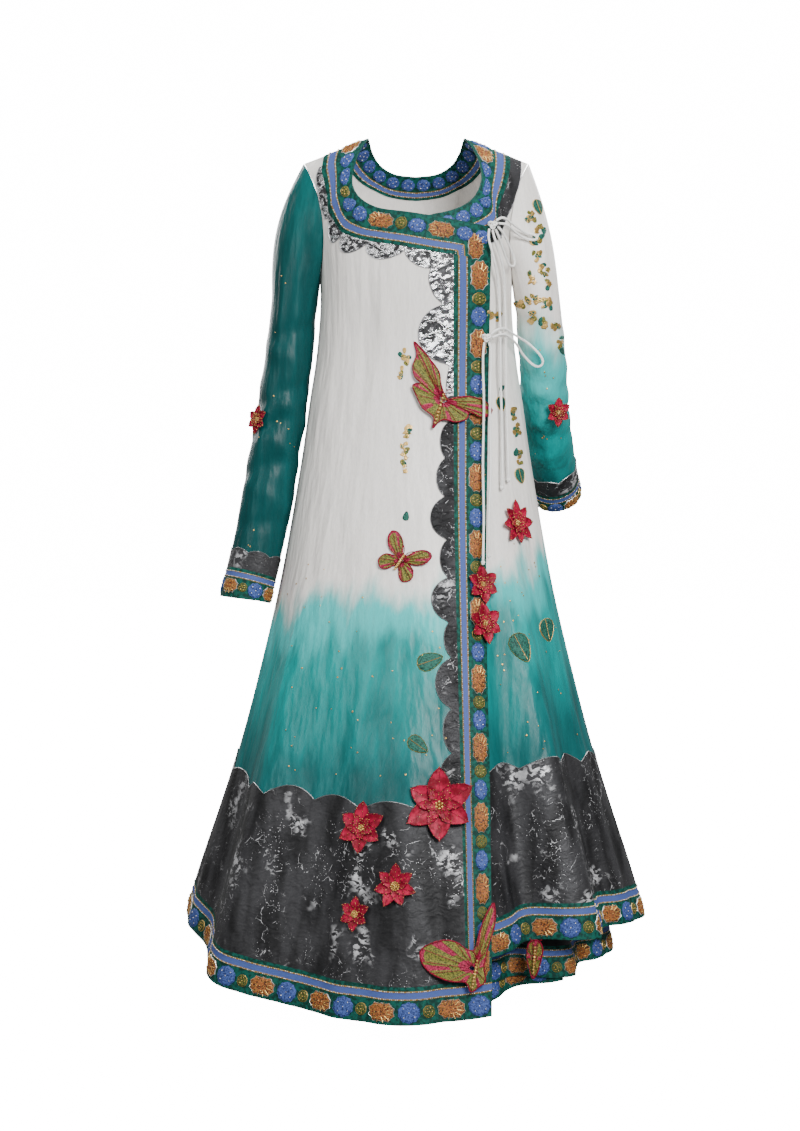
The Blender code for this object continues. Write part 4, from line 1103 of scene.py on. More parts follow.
def ribbon_finish(name, width, flip):
    """Woven ribbon: the UV map gives the distance across it."""
    material, shader, start = new_finish(name, RIBBON_ROUGHNESS, gloss=RIBBON_GLOSS)
    flat = start.node("ShaderNodeTexCoord", None, None, output=2)
    place = object_place(start)
    across = start.node("ShaderNodeSeparateXYZ", None, {0: flat}, output=1) * (1 / width)
    share = 1 - across if flip else across * 1.0
    weave = grain(place, *RIBBON_WEAVE)
    field = tint(passing(grain(place, *RIBBON_FIELD), 0.4, 0.6), EMERALD, BRIGHT_EMERALD)
    stripe = (share > EDGE_SHARE) * (share < STRIPE_SHARE)
    colour = tint(stripe, field, STRIPE_BLUE)
    lines = (share > EDGE_SHARE - BEAD_LINE) * (share < EDGE_SHARE + BEAD_LINE)
    lines = lines + (share > STRIPE_SHARE - BEAD_LINE) * (share < STRIPE_SHARE + BEAD_LINE)
    colour = tint(lines, colour, GOLD_THREAD)
    colour = shaded(colour, 0.75 + weave * 0.5)
    wire(shader, "Base Color", colour)
    wire(shader, "Roughness", 0.46 + weave * 0.3)
    wire(shader, "Normal", relief(weave + lines * 0.4, RIBBON_RELIEF))
    return material


class Strip:
    """A ribbon as it lies: s runs along it and t across it, from the cloth's side."""

    def __init__(self, face, away, flip, width):
        self.face = face[::-1] if flip else face
        self.away = away[::-1] if flip else away
        middle = self.face[len(face) // 2]
        steps = np.linalg.norm(np.diff(middle, axis=0), axis=1)
        self.reach = np.concatenate([[0], np.cumsum(steps)])
        self.length, self.width = self.reach[-1], width
        ahead = np.gradient(middle, axis=0)
        ahead = ahead / np.linalg.norm(ahead, axis=1, keepdims=True)
        self.slip = np.sum((self.face[-1] - self.face[0]) * ahead, axis=1)

    def lay(self, places):
        """Points in space for flat places on the ribbon: s, t and height above it.

        Where the columns run slanting across the ribbon, s is moved back along it.
        """
        s, t, height = np.asarray(places, float).T
        s = s - (t / self.width - 0.5) * np.interp(s, self.reach, self.slip)
        down, across = len(self.face) - 1, len(self.reach) - 1
        column = np.clip(np.interp(s, self.reach, np.arange(across + 1)), 0, across - 1e-6)
        row = np.clip(t / self.width * down, 0, down - 1e-6)
        i, k = column.astype(int), row.astype(int)
        a, b = (column - i)[:, None], (row - k)[:, None]

        def blend(grid):
            near = grid[k, i] * (1 - a) + grid[k, i + 1] * a
            far = grid[k + 1, i] * (1 - a) + grid[k + 1, i + 1] * a
            return near * (1 - b) + far * b

        return blend(self.face) + blend(self.away) * height[:, None]


RIBBON_QUADS = 10
MOST_OF_BODICE = 0.8


def neck_ribbon(panel, width_at):
    def surface(u, v):
        column = u * panel.across
        neck, rim = panel.edges(column)
        edge = np.minimum(width_at(column) / np.linalg.norm(rim - neck, axis=-1), MOST_OF_BODICE)
        return panel.bodice(column, v * edge)

    return surface


def hem_ribbon(panel, first, last):
    def surface(u, v):
        column = first + u * (last - first)
        return panel.skirt(column, panel.hem_level(column) + HEM_RIBBON * (1 - v))

    return surface


# The least sine that a slanting column may have, and the columns over which it is evened out
LEAST_SLANT = 0.55
SLANT_REACH = 3


def slants(panel):
    """The sine between the neckline and the line down to the rim at each column, evened out."""
    neck, rim = panel.edges(np.arange(panel.across + 1.0))
    ahead, down = np.gradient(neck, axis=0), rim - neck
    turn = np.abs(ahead[:, 0] * down[:, 1] - ahead[:, 1] * down[:, 0])
    sine = turn / (np.linalg.norm(ahead, axis=1) * np.linalg.norm(down, axis=1))
    padded = np.pad(np.maximum(sine, LEAST_SLANT), SLANT_REACH, mode="edge")
    return np.convolve(padded, np.full(2 * SLANT_REACH + 1, 1 / (2 * SLANT_REACH + 1)), "valid")


def down_columns(panel, width_at):
    """The lengths down the columns that give a ribbon its width square to the neckline."""
    sines = slants(panel)
    return lambda column: width_at(column) / np.interp(column, np.arange(len(sines)), sines)


# The neck ribbons: wide across the front, narrower at the shoulders and behind
WIDER_FROM, WIDER_OVER = 6, 8


def overlap_breadth(column):
    return SHOULDER_RIBBON + (FRONT_RIBBON - SHOULDER_RIBBON) * eased((column - WIDER_FROM) / WIDER_OVER)


def back_breadth(column):
    aside = eased((np.abs(2 * column / BACK_ACROSS - 1) - 0.5) / 0.5)
    return NECK_RIBBON + (SHOULDER_RIBBON - NECK_RIBBON) * aside


overlap_width = down_columns(OVERLAP, overlap_breadth)
right_width = down_columns(RIGHT, lambda column: SHOULDER_RIBBON + 0 * column)
back_width = down_columns(BACK, back_breadth)


def placket_surface(u, v):
    """The placket from its lower end, u 0, up to the neck band, and across it from inside."""
    column = LEFT_COLUMNS + PLACKET_COLUMNS * v
    low = OVERLAP.hem_level(column) + HEM_RIBBON
    yoke = ARMHOLE_COLUMNS + column
    neck, rim = OVERLAP.edges(yoke)
    edge = overlap_width(yoke) / np.linalg.norm(rim - neck, axis=-1)
    bodice_length = (1 - edge) * np.linalg.norm(rim - neck, axis=-1)
    rise = u * (bodice_length + UNDERARM - low)
    skirt = overlap_skirt(column, np.minimum(low + rise, UNDERARM))
    over = np.clip((low + rise - UNDERARM) / bodice_length, 0, 1)
    bodice = OVERLAP.bodice(yoke, 1 - over * (1 - edge))
    return np.where((low + rise < UNDERARM)[..., None], skirt, bodice)


def flap_ribbon(u, v):
    z = flap_hem(u) + HEM_RIBBON * (1 - v)
    points = skirt_points(front_angle(flap_column(u), z), z, -UNDER, UNDERSKIRT_SHARE)
    return points - outward(points) * (UNDER + UNDERFLAP_LEAN)


# Ribbons: name, surface, quads along it, width, and whether its far edge is on the cloth's side
RIBBONS = (
    ("overlap_neck_ribbon", neck_ribbon(OVERLAP, overlap_width), 170, FRONT_RIBBON, True),
    ("right_neck_ribbon", neck_ribbon(RIGHT, right_width), 120, SHOULDER_RIBBON, True),
    ("back_neck_ribbon", neck_ribbon(BACK, back_width), 120, NECK_RIBBON, True),
    ("back_neck_facing", neck_ribbon(BACK, back_width), 120, NECK_RIBBON, True),
    ("placket_ribbon", placket_surface, 300, FRONT_RIBBON, False),
    ("overlap_hem_ribbon", hem_ribbon(OVERLAP, 0, PLACKET_OUT), 200, HEM_RIBBON, False),
    ("right_hem_ribbon", hem_ribbon(RIGHT, right_first, RIGHT_WIDTH), 130, HEM_RIBBON, False),
    ("back_hem_ribbon", hem_ribbon(BACK, 0, BACK_COLUMNS), 260, HEM_RIBBON, False),
    ("underskirt_front_ribbon", under_strip(-90, 0.0, UNDERSKIRT_RIBBON), 200, UNDERSKIRT_RIBBON, False),
    ("underskirt_back_ribbon", under_strip(90, 0.0, UNDERSKIRT_RIBBON), 200, UNDERSKIRT_RIBBON, False),
    ("underflap_ribbon", flap_ribbon, 60, HEM_RIBBON, False),
)
ribbon_finishes = {}
strips = {}
ribbons = {}

# Where along the neck band its stripes turn down into the placket's
CORNER_SHARE = (ARMHOLE_COLUMNS + LEFT_COLUMNS) / OVERLAP_ACROSS


def even_width(width):
    """Lets the flat ribbon be as wide as its pattern, wherever it lies."""
    return lambda places, run, fall: places * (1.0, width / fall)


def mitred(places, run, fall):
    """Turns the neck band's stripes down into the placket's, at the corner over the placket."""
    past = places[:, 0] - np.interp(CORNER_SHARE, np.linspace(0, 1, len(run)), run)
    down = FRONT_RIBBON * (1 - places[:, 1] / fall)
    return np.stack([places[:, 0], FRONT_RIBBON - np.maximum(down, past)], axis=1)


def sew_ribbon(name, surface, quads, width, flip, closed=False):
    """A ribbon laid on the gown, kept as a strip that ornaments can be laid on."""
    if (width, flip) not in ribbon_finishes:
        ribbon_finishes[width, flip] = ribbon_finish(f"ribbon_{len(ribbon_finishes)}", width, flip)
    corner = name == "overlap_neck_ribbon"
    rows = 2 * RIBBON_QUADS if corner else RIBBON_QUADS
    turned = mitred if corner else even_width(width)
    inside = name == "back_neck_facing"
    lift = -SEAM - TRIM if inside else FOIL_LIFT
    grid, face = cloth_grid(surface, quads, rows, lift, TRIM, closed, turned)
    away = outward(face)
    if inside:
        outer_faces.pop()
        face, away = face - away * TRIM, -away
    ribbons[name] = finish_cloth(name, [grid], TRIM, ribbon_finishes[width, flip], "ribbon", name)
    strips[name] = Strip(face, away, flip, width)


for ribbon_name, surface, quads, width, flip in RIBBONS:
    sew_ribbon(ribbon_name, surface, quads, width, flip)
for side_name, sign in (("left", -1), ("right", 1)):
    sleeve = SLEEVES[sign]

    def cuff(u, v, sleeve=sleeve):
        k = sleeve.half_turns(u)
        return sleeve.down(k, sleeve.length - CUFF_RIBBON * (1 - v))

    sew_ribbon("cuff_ribbon_" + side_name, cuff, 72, CUFF_RIBBON, False, closed=True)

# Foil beside the borders
# The same foil runs as a scalloped strip down the inner side of the placket and round the
# outer edge of the neck bands. Above the waist it turns metallic with painted highlights; below it is dull.
STRIP_THICK = 0.0008

# Scallops beside the placket: level of the middle, half height, reach from the placket
PLACKET_SCALLOPS = (
    (-0.232, 0.050, 0.040),
    (-0.326, 0.050, 0.056),
    (-0.420, 0.050, 0.012),
    (-0.500, 0.034, 0.022),
    (-0.558, 0.036, 0.028),
    (-0.622, 0.036, 0.038),
    (-0.686, 0.034, 0.024),
    (-0.751, 0.036, 0.038),
    (-0.812, 0.032, 0.020),
    (-0.880, 0.040, 0.034),
    (-0.953, 0.038, 0.024),
    (-1.020, 0.036, 0.030),
)
PLACKET_FOIL_TOP = -0.196
SCALLOP_FLOOR = 0.006
NECK_SCALLOP = 0.024
NECK_SCALLOPS = 5
NECK_FLOOR = 0.004
SHOULDER_REACH = 0.023
SHOULDER_WAVE = 0.16
SHOULDER_WAVES = 1.6
SHOULDER_END = 0.14


def placket_foil(u, v):
    """The foil from its scalloped edge, u 0, to the placket."""
    low = OVERLAP.hem_level(np.full_like(u, LEFT_COLUMNS)) + FOIL_TALL
    z = PLACKET_FOIL_TOP + (low - PLACKET_FOIL_TOP) * v
    reach = np.full_like(z, SCALLOP_FLOOR)
    for middle, half, size in PLACKET_SCALLOPS:
        bow = np.sqrt(np.clip(1 - ((z - middle) / half) ** 2, 0, 1))
        reach = np.maximum(reach, size * bow)
    inner = placket_angle(z, 1)
    breadth = curve_value(SECTIONS, 1, z) * np.radians(inner + 90) / LEFT_COLUMNS
    column = LEFT_COLUMNS - (1 - u) * reach / breadth
    flat = overlap_skirt(column, np.minimum(z, UNDERARM))
    yoke = ARMHOLE_COLUMNS + column
    neck, rim = OVERLAP.edges(yoke)
    part = np.clip((neck[..., 1] - z) / (neck[..., 1] - rim[..., 1]), 0, 1)
    return np.where((z < UNDERARM)[..., None], flat, OVERLAP.bodice(yoke, part))


def beside_neck(panel, first, last, width_at, reach_at):
    """Foil along the outer edge of a neck ribbon."""
    def surface(u, v):
        column = first + u * (last - first)
        neck, rim = panel.edges(column)
        drop = np.linalg.norm(rim - neck, axis=-1)
        edge = np.minimum(width_at(column) / drop, MOST_OF_BODICE)
        return panel.bodice(column, edge + v * reach_at(u) / drop)

    return surface


def neck_reach(u):
    """Scallops under the neck band, shorter over the shoulder."""
    bow = np.abs(np.sin(math.pi * NECK_SCALLOPS * u)) ** 0.6
    return NECK_FLOOR + NECK_SCALLOP * (0.5 + 0.5 * eased(u / 0.4)) * bow


def shoulder_reach(u):
    """A plain strip with a rounded lower end."""
    wave = 1 + SHOULDER_WAVE * np.sin(2 * math.pi * (SHOULDER_WAVES * u + 0.1))
    return 0.001 + SHOULDER_REACH * wave * np.sqrt(np.clip(u / SHOULDER_END, 0, 1))


# Strips: name, surface, quads across and down
for foil_name, surface, across, down in (
    ("placket_foil", placket_foil, 10, 260),
    ("neck_foil", beside_neck(OVERLAP, 1, 24, overlap_width, neck_reach), 220, 8),
    ("shoulder_foil", beside_neck(RIGHT, 4.5, 25.9, right_width, shoulder_reach), 120, 8),
):
    grid, face = cloth_grid(surface, across, down, FOIL_LIFT, STRIP_THICK)
    foil = HEM_FOIL if foil_name == "shoulder_foil" else PLACKET_FOIL
    foils[foil_name] = finish_cloth(foil_name, [grid], STRIP_THICK, foil, "foil")
    foil_edges.append(face[:, 0] if foil_name == "placket_foil" else face[-1])

# Couched edges of the foil
# Every free edge of the foil is held down by a thin grey metal cord.
EDGE_CORD = 0.0007
MOTIF_DEGREES = 60


def steady_frames(points, closed=False):
    """A direction along a line at each of its points, and two square to it that don't twist."""
    ahead = np.roll(points, -1, 0) - np.roll(points, 1, 0) if closed else np.gradient(points, axis=0)
    ahead = ahead / np.maximum(np.linalg.norm(ahead, axis=1, keepdims=True), 1e-12)
    side = np.cross(ahead[0], (0.0, 0.0, 1.0) if abs(ahead[0][2]) < 0.9 else (0.0, 1.0, 0.0))
    sides = []
    for direction in ahead:
        side = side - direction * side.dot(direction)
        side = side / max(np.linalg.norm(side), 1e-12)
        sides.append(side)
    sides = np.array(sides)
    return sides, np.cross(ahead, sides)


def band_faces(rows, count, closed=False):
    """Faces between closed rows of points, round a band. Closed joins the last row to the first."""
    faces = []
    for k in range(rows if closed else rows - 1):
        near, far = k * count, (k + 1) % rows * count
        for i in range(count):
            j = (i + 1) % count
            faces.append((near + i, near + j, far + j, far + i))
    return faces


def tube(points, radius, sides, closed=False):
    """The points and faces of a thin round cord along a line. Its radius may be a list."""
    points = np.asarray(points, float)
    across, up = steady_frames(points, closed)
    turns = 2 * math.pi * np.arange(sides) / sides
    radius = np.broadcast_to(radius, len(points))[:, None, None]
    ring = across[:, None] * np.cos(turns)[None, :, None] + up[:, None] * np.sin(turns)[None, :, None]
    corners = (points[:, None] + ring * radius).reshape(-1, 3)
    faces = band_faces(len(points), sides, closed)
    if not closed:
        faces.append(tuple(range(sides))[::-1])
        faces.append(tuple((len(points) - 1) * sides + i for i in range(sides)))
    return corners, faces


class Heap:
    """Many small shapes that are made one mesh."""

    def __init__(self):
        self.points, self.faces, self.paints, self.count = [], [], [], 0

    def add(self, points, faces, paint=0):
        self.points.append(np.asarray(points, float))
        self.faces += [[corner + self.count for corner in face] for face in faces]
        self.paints += [paint] * len(faces) if isinstance(paint, int) else list(paint)
        self.count += len(points)

    def make(self, name, finishes, slot, *nodes):
        mesh = bpy.data.meshes.new(name)
        mesh.from_pydata(np.vstack(self.points), [], self.faces)
        for finish in finishes:
            mesh.materials.append(finish)
        mesh.polygons.foreach_set("material_index", self.paints)
        piece = bpy.data.objects.new(name, mesh)
        bpy.context.scene.collection.objects.link(piece)
        bpy.ops.object.select_all(action="DESELECT")
        piece.select_set(True)
        bpy.context.view_layer.objects.active = piece
        bpy.ops.object.shade_smooth_by_angle(angle=math.radians(MOTIF_DEGREES))
        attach(piece, "root")
        if nodes:
            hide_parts(*nodes)
        return piece


METAL_ROUGHNESS = 0.3
METAL_SHARE = 0.85
METAL_RELIEF = 0.0006
METAL_STITCHES = (0.0016, 2.0)


def metal_thread(name, colour):
    """Metal thread, sequins and beads: bright, with small changes from stitch to stitch."""
    material, shader, start = new_finish(name, METAL_ROUGHNESS, metallic=METAL_SHARE)
    speck = grain(object_place(start), *METAL_STITCHES)
    wire(shader, "Base Color", shaded(colour, 0.55 + speck * 0.9))
    wire(shader, "Roughness", METAL_ROUGHNESS - 0.1 + speck * 0.3)
    wire(shader, "Normal", relief(speck, METAL_RELIEF))
    return material


GOLD = metal_thread("gold_thread", (0.62, 0.40, 0.13, 1.0))
PALE_METAL = metal_thread("silver_thread", (0.80, 0.78, 0.74, 1.0))
GREY_METAL = metal_thread("grey_thread", (0.36, 0.36, 0.37, 1.0))
edge_heap = Heap()
for edge in foil_edges:
    line = smooth_line(edge, 1)
    closed = np.linalg.norm(line[0] - line[-1]) < 1e-6
    edge_heap.add(*tube(line[:-1] if closed else line, EDGE_CORD, 4, closed))
edge_heap.make("foil_edge_cords", [GREY_METAL], "foil")

# Medallions and bead rows
# Along the ribbons' green field are stitched medallions, a large two-lobed orange one, a small
# green and gold round and a blue scalloped oval. Rows of beads edge the blue stripe.
WIDE_RIBBON = 0.056
STRIP_END = 0.002
MEDALLION_GAP = 0.0040
MEDALLION_RISE = 0.0017
MEDALLION_CORD = 0.0007
MEDALLION_BEAD = 0.0012
ROUND_POINTS = 20
BEAD = 0.00090
BEAD_STEP = 0.0031

# Gold stitches run out from the middle of an orange medallion: how many, thickness, shares
RAYS = 12
RAY_THREAD = 0.0006
RAY_SHARES = (0.20, 0.32, 0.43)


def shape_of(piece):
    """A primitive's points and faces, to be copied many times. The primitive itself goes."""
    points = np.array([tuple(vertex.co) for vertex in piece.data.vertices])
    faces = [tuple(face.vertices) for face in piece.data.polygons]
    bpy.data.objects.remove(piece, do_unlink=True)
    return points, faces


bpy.ops.object.select_all(action="DESELECT")
bpy.ops.mesh.primitive_uv_sphere_add(segments=4, ring_count=3, radius=1.0)
bead_points, bead_faces = shape_of(bpy.context.object)
bpy.ops.mesh.primitive_ico_sphere_add(subdivisions=1, radius=1.0)
pearl_points, pearl_faces = shape_of(bpy.context.object)


def scalloped(long, wide, scallops, depth, waist):
    """The outline of a medallion: an oval with scallops and, at its middle, a waist."""
    turns = 2 * math.pi * np.arange(ROUND_POINTS) / ROUND_POINTS
    reach = 1 - depth * (1 - np.abs(np.sin(turns * scallops / 2)))
    reach = reach - waist * np.abs(np.sin(turns)) ** 8
    return np.stack([long / 2 * reach * np.cos(turns), wide / 2 * reach * np.sin(turns)], axis=1)


def pad(outline, rise):
    """A stitched pad inside an outline: its points as s, t and height, and its faces."""
    count = len(outline)
    rings = [(1.0, 0.0), (0.96, 0.7 * rise), (0.72, rise), (0.36, 0.9 * rise)]
    points = np.vstack([np.column_stack([outline * share, np.full(count, h)]) for share, h in rings])
    points = np.vstack([points, (0.0, 0.0, 0.8 * rise)])
    faces = band_faces(len(rings), count)
    last = (len(rings) - 1) * count
    faces += [(last + i, last + (i + 1) % count, len(points) - 1) for i in range(count)]
    return points, faces


def ridge(outline, radius):
    """A cord couched round an outline."""
    count = len(outline)
    size = np.linalg.norm(outline, axis=1, keepdims=True)
    outer, inner = outline * (1 + radius / size), outline * (1 - radius / size)
    rings = [(outer, 0.0), (outline, 1.8 * radius), (inner, 0.6 * radius)]
    points = np.vstack([np.column_stack([ring, np.full(count, h)]) for ring, h in rings])
    return points, band_faces(len(rings), count)


THREAD_ROUGHNESS = 0.5
THREAD_GLOSS = 0.22
THREAD_RELIEF = 0.0012
STITCHES = (0.0022, 3.0)


def thread_finish(name, colour, dark):
    """Silk thread laid in short stitches, its colour passing at random into a darker tone."""
    material, shader, start = new_finish(name, THREAD_ROUGHNESS, gloss=THREAD_GLOSS)
    stitch = grain(object_place(start), *STITCHES)
    wire(shader, "Base Color", tint(passing(stitch, 0.40, 0.56), dark, colour))
    wire(shader, "Roughness", THREAD_ROUGHNESS - 0.1 + stitch * 0.3)
    wire(shader, "Normal", relief(stitch, THREAD_RELIEF))
    return material


ORANGE_THREAD = thread_finish("orange_thread", (0.37, 0.125, 0.034, 1.0), (0.040, 0.014, 0.007, 1.0))
BLUE_THREAD = thread_finish("blue_thread", (0.060, 0.105, 0.33, 1.0), (0.014, 0.030, 0.120, 1.0))
LEAF_THREAD = thread_finish("leaf_thread", (0.105, 0.110, 0.020, 1.0), (0.010, 0.030, 0.010, 1.0))
MEDALLION_FINISHES = [ORANGE_THREAD, BLUE_THREAD, LEAF_THREAD, GOLD, PALE_METAL]
ORANGE, BLUE, LEAF, GOLDEN, SILVERY = range(5)

# Length along the ribbon and breadth of each kind, on the hems and on the front
HEM_SIZES = {ORANGE: (0.0440, 0.0350), BLUE: (0.0340, 0.0310), LEAF: (0.0180, 0.0180)}
FRONT_SIZES = {ORANGE: (0.0490, 0.0335), BLUE: (0.0320, 0.0240), LEAF: (0.0200, 0.0210)}

# Scallops, their depth and the waist of each kind, the finish of its edge, and its beads as shares
MEDALLION_SHAPES = {ORANGE: (10, 0.12, 0.24), BLUE: (10, 0.09, 0.0), LEAF: (8, 0.06, 0.0)}
MEDALLION_EDGES = {ORANGE: SILVERY, BLUE: BLUE, LEAF: GOLDEN}
MEDALLION_BEADS = {
    ORANGE: ((-0.38, 0.0), (-0.22, 0.0), (-0.08, 0.0), (0.08, 0.0), (0.22, 0.0), (0.38, 0.0),
             (-0.30, 0.24), (-0.17, 0.26), (0.17, 0.26), (0.30, 0.24), (0.0, 0.20), (-0.30, -0.24),
             (-0.17, -0.26), (0.17, -0.26), (0.30, -0.24), (0.0, -0.20)),
    BLUE: ((0.0, 0.0), (0.24, 0.20), (-0.24, -0.20), (0.22, -0.22), (-0.22, 0.22)),
    LEAF: ((0.0, 0.0), (0.26, 0.0), (-0.13, 0.22), (-0.13, -0.22), (-0.30, 0.0), (0.12, 0.28),
           (0.12, -0.28)),
}


def medallion(heap, strip, s, t, size, kind):
    """One medallion on a ribbon: a pad, the cord round it and its beads."""
    long, wide = size
    outline = scalloped(long, wide, *MEDALLION_SHAPES[kind])
    centre = np.array((s, t, 0.0))
    points, faces = pad(outline, MEDALLION_RISE)
    heap.add(strip.lay(points + centre), faces, kind)
    points, faces = ridge(outline, MEDALLION_CORD)
    heap.add(strip.lay(points + centre), faces, MEDALLION_EDGES[kind])
    bead_paint = SILVERY if kind == BLUE else GOLDEN
    for along, aside in MEDALLION_BEADS[kind]:
        place = centre + (along * long, aside * wide, MEDALLION_RISE)
        heap.add(strip.lay(bead_points * MEDALLION_BEAD + place), bead_faces, bead_paint)
    if kind == ORANGE:
        for k in range(RAYS):
            turn = 2 * math.pi * (k + 0.5) / RAYS
            end = np.array((math.cos(turn) * long, math.sin(turn) * wide))
            run = [(*(end * share), MEDALLION_RISE * 1.05) for share in RAY_SHARES]
            corners, faces = tube(np.array(run) + centre, RAY_THREAD, 3)
            heap.add(strip.lay(corners), faces, GOLDEN)


def bead_row(heap, strip, path):
    """Beads along a flat path on a ribbon, two silver ones and a gold one by turns."""
    path = np.array(path, float)
    steps = np.linalg.norm(np.diff(path, axis=0), axis=1)
    count = int(steps.sum() / BEAD_STEP)
    for k, (s, t) in enumerate(line_at(path, (np.arange(count) + 0.5) / count)):
        size, paint = ((1.5, 1.0, 1.0), SILVERY) if k % 3 else ((1.0, 1.0, 1.2), GOLDEN)
        points = bead_points * (BEAD * np.array(size)) + (s, t, BEAD * 0.6)
        heap.add(strip.lay(points), bead_faces, paint)


# Order of the medallions on each ribbon and how large they are for the ribbon's width
HEM_ORDER = (ORANGE, BLUE, LEAF)
RIBBON_ORDERS = {
    "overlap_neck_ribbon": (ORANGE, BLUE, BLUE, LEAF, BLUE, BLUE, ORANGE, LEAF, BLUE),
    "right_neck_ribbon": (BLUE, BLUE, BLUE, BLUE, BLUE, BLUE, BLUE, ORANGE),
    "back_neck_ribbon": (ORANGE, BLUE, BLUE, BLUE),
    "back_neck_facing": (BLUE,),
    "cuff_ribbon_left": (ORANGE, LEAF, BLUE),
    "cuff_ribbon_right": (ORANGE, LEAF, BLUE),
}
ORNAMENT_SCALES = {
    "placket_ribbon": 1.0,
    "overlap_neck_ribbon": 0.92,
    "right_neck_ribbon": 0.84,
    "back_neck_ribbon": 0.72,
    "back_neck_facing": 0.76,
}
ornaments = []
for strip_name, strip in strips.items():
    heap = Heap()
    order = RIBBON_ORDERS.get(strip_name, HEM_ORDER)
    sizes = FRONT_SIZES if strip_name in ORNAMENT_SCALES else HEM_SIZES
    scale = ORNAMENT_SCALES.get(strip_name, strip.width / WIDE_RIBBON)
    middle = strip.width * (STRIPE_SHARE + 1) / 2
    gap = MEDALLION_GAP * scale
    lengths = [sizes[kind][0] * scale + gap for kind in order]
    free = strip.length - 2 * STRIP_END
    rounds = max(1, round(free / sum(lengths) * len(order)))
    kinds = [order[k % len(order)] for k in range(rounds)]
    spare = free - sum(sizes[kind][0] * scale for kind in kinds)
    s = STRIP_END
    for kind in kinds:
        long, wide = sizes[kind][0] * scale, sizes[kind][1] * scale
        step = long + spare / len(kinds)
        medallion(heap, strip, s + step / 2, middle, (long, wide), kind)
        s += step
    for share in (EDGE_SHARE, STRIPE_SHARE):
        t = share * strip.width
        if strip_name == "overlap_neck_ribbon":
            corner = float(np.interp(CORNER_SHARE, np.linspace(0, 1, len(strip.reach)), strip.reach))
            bead_row(heap, strip, [(0.0, t), (corner + t, t), (corner + t, 0.0)])
        else:
            bead_row(heap, strip, [(0.0, t), (strip.length, t)])
    ornaments.append(heap.make(strip_name + "_stitching", MEDALLION_FINISHES, "ribbon"))

# Piping of the necklines
# A thin roll of emerald silk binds the raw edge of each neckline.
PIPING = 0.0017
PIPING_POINTS = 160
PIPING_SILK = thread_finish("piping_silk", (0.0005, 0.070, 0.052, 1.0), (0.0003, 0.030, 0.022, 1.0))
piping = Heap()
for panel in (OVERLAP, RIGHT, BACK):
    column = np.linspace(0, panel.across, PIPING_POINTS)
    rim = np.stack([panel.bodice(column, np.full_like(column, part)) for part in (0.0, 0.01)])
    middle = rim[0] + outward(rim)[0] * (CLOTH + TRIM) / 2
    piping.add(*tube(middle, PIPING, 6))
piping.make("neck_piping", [PIPING_SILK], "ribbon")

# Flowers
# Stiffened crimson satin petals with corded dark edges, in two layers round a boss of gold
# beads, are stitched to the gown at their middles.
gown_points, gown_faces = [], []
for face in outer_faces:
    first, (rows, columns) = len(gown_points), face.shape[:2]
    gown_points += [Vector(point) for point in face.reshape(-1, 3)]
    for k in range(rows - 1):
        for i in range(columns - 1):
            a = first + k * columns + i
            gown_faces.append((a, a + columns, a + columns + 1, a + 1))
GOWN_FACE = BVHTree.FromPolygons(gown_points, gown_faces)
BEFORE_GOWN = -1.0
BACKWARD = Vector((0, 1, 0))


def front_of(x, z, surface=GOWN_FACE):
    """Where the gown's outer face lies at a place seen from the front, and which way it faces."""
    place, normal, _, _ = surface.ray_cast(Vector((x, BEFORE_GOWN, z)), BACKWARD)
    if place is None:
        return Vector((x, 0.0, z)), Vector((0, -1, 0))
    return place, (normal if normal.y < 0 else -normal)


class Beneath:
    """The gown's face under a place, to lay flat ornaments on: s runs up and t across."""

    def __init__(self, x, z):
        self.x, self.z = x, z

    def lay(self, places):
        result = []
        for s, t, height in np.asarray(places, float):
            place, normal = front_of(self.x + t, self.z + s)
            result.append(tuple(place + normal * height))
        return np.array(result)


# The large medallion in the corner where the neck band meets the placket
CORNER_MEDALLION = (0.0955, -0.1840)
heap = Heap()
medallion(heap, Beneath(*CORNER_MEDALLION), 0.0, 0.0, (0.0440, 0.0320), ORANGE)
ornaments.append(heap.make("corner_medallion", MEDALLION_FINISHES, "ribbon"))


SEEK = 0.06


def seat(x, z, points, tilt=0.0):
    """Turns a motif to lie against the gown at a place, raised until none of it dips inside."""
    place, normal = front_of(x, z)
    up = (Vector((0, 0, 1)) - normal * normal.z).normalized()
    turn = Matrix((up.cross(normal), up, normal)).transposed().to_4x4()
    turn = Matrix.Translation(place) @ turn @ Matrix.Rotation(math.radians(tilt), 4, "Z")
    inside = 0.0
    for point in points:
        spot = turn @ Vector(point)
        hit = GOWN_FACE.ray_cast(spot + normal * SEEK, -normal)[0]
        if hit is not None:
            inside = max(inside, (hit - spot).dot(normal))
    return Matrix.Translation(normal * (inside + SEAM)) @ turn


def moved(matrix, points):
    points = np.asarray(points, float)
    turn = np.array(matrix)
    return points @ turn[:3, :3].T + turn[:3, 3]


PETAL_ACROSS = 5
PETAL_ALONG = 8
PETAL_CUP = 0.16
PETAL_REACH = 1.10
PETAL_START = 0.06
PETAL_LIFT = 0.0012
LEAST_HALF, TIP_HALF = 0.0012, 0.0004
PETAL_HOLLOW = 0.30
PETAL_RIPPLE = 0.0006
PETAL_CORD = 0.00075
VEIN_CORD = 0.0005
RIM_BEAD = 0.0009
VEIN_BEAD = 0.0008
INNER_SHARE = 0.48
INNER_RISE = 0.0024
PETAL_BREADTH = 0.70
PETAL_ARCH = 0.05
UNEVEN = 0.07
BOSS_SHARE = 0.20
BOSS_RINGS = ((0.0, 1), (0.5, 6), (1.0, 11))

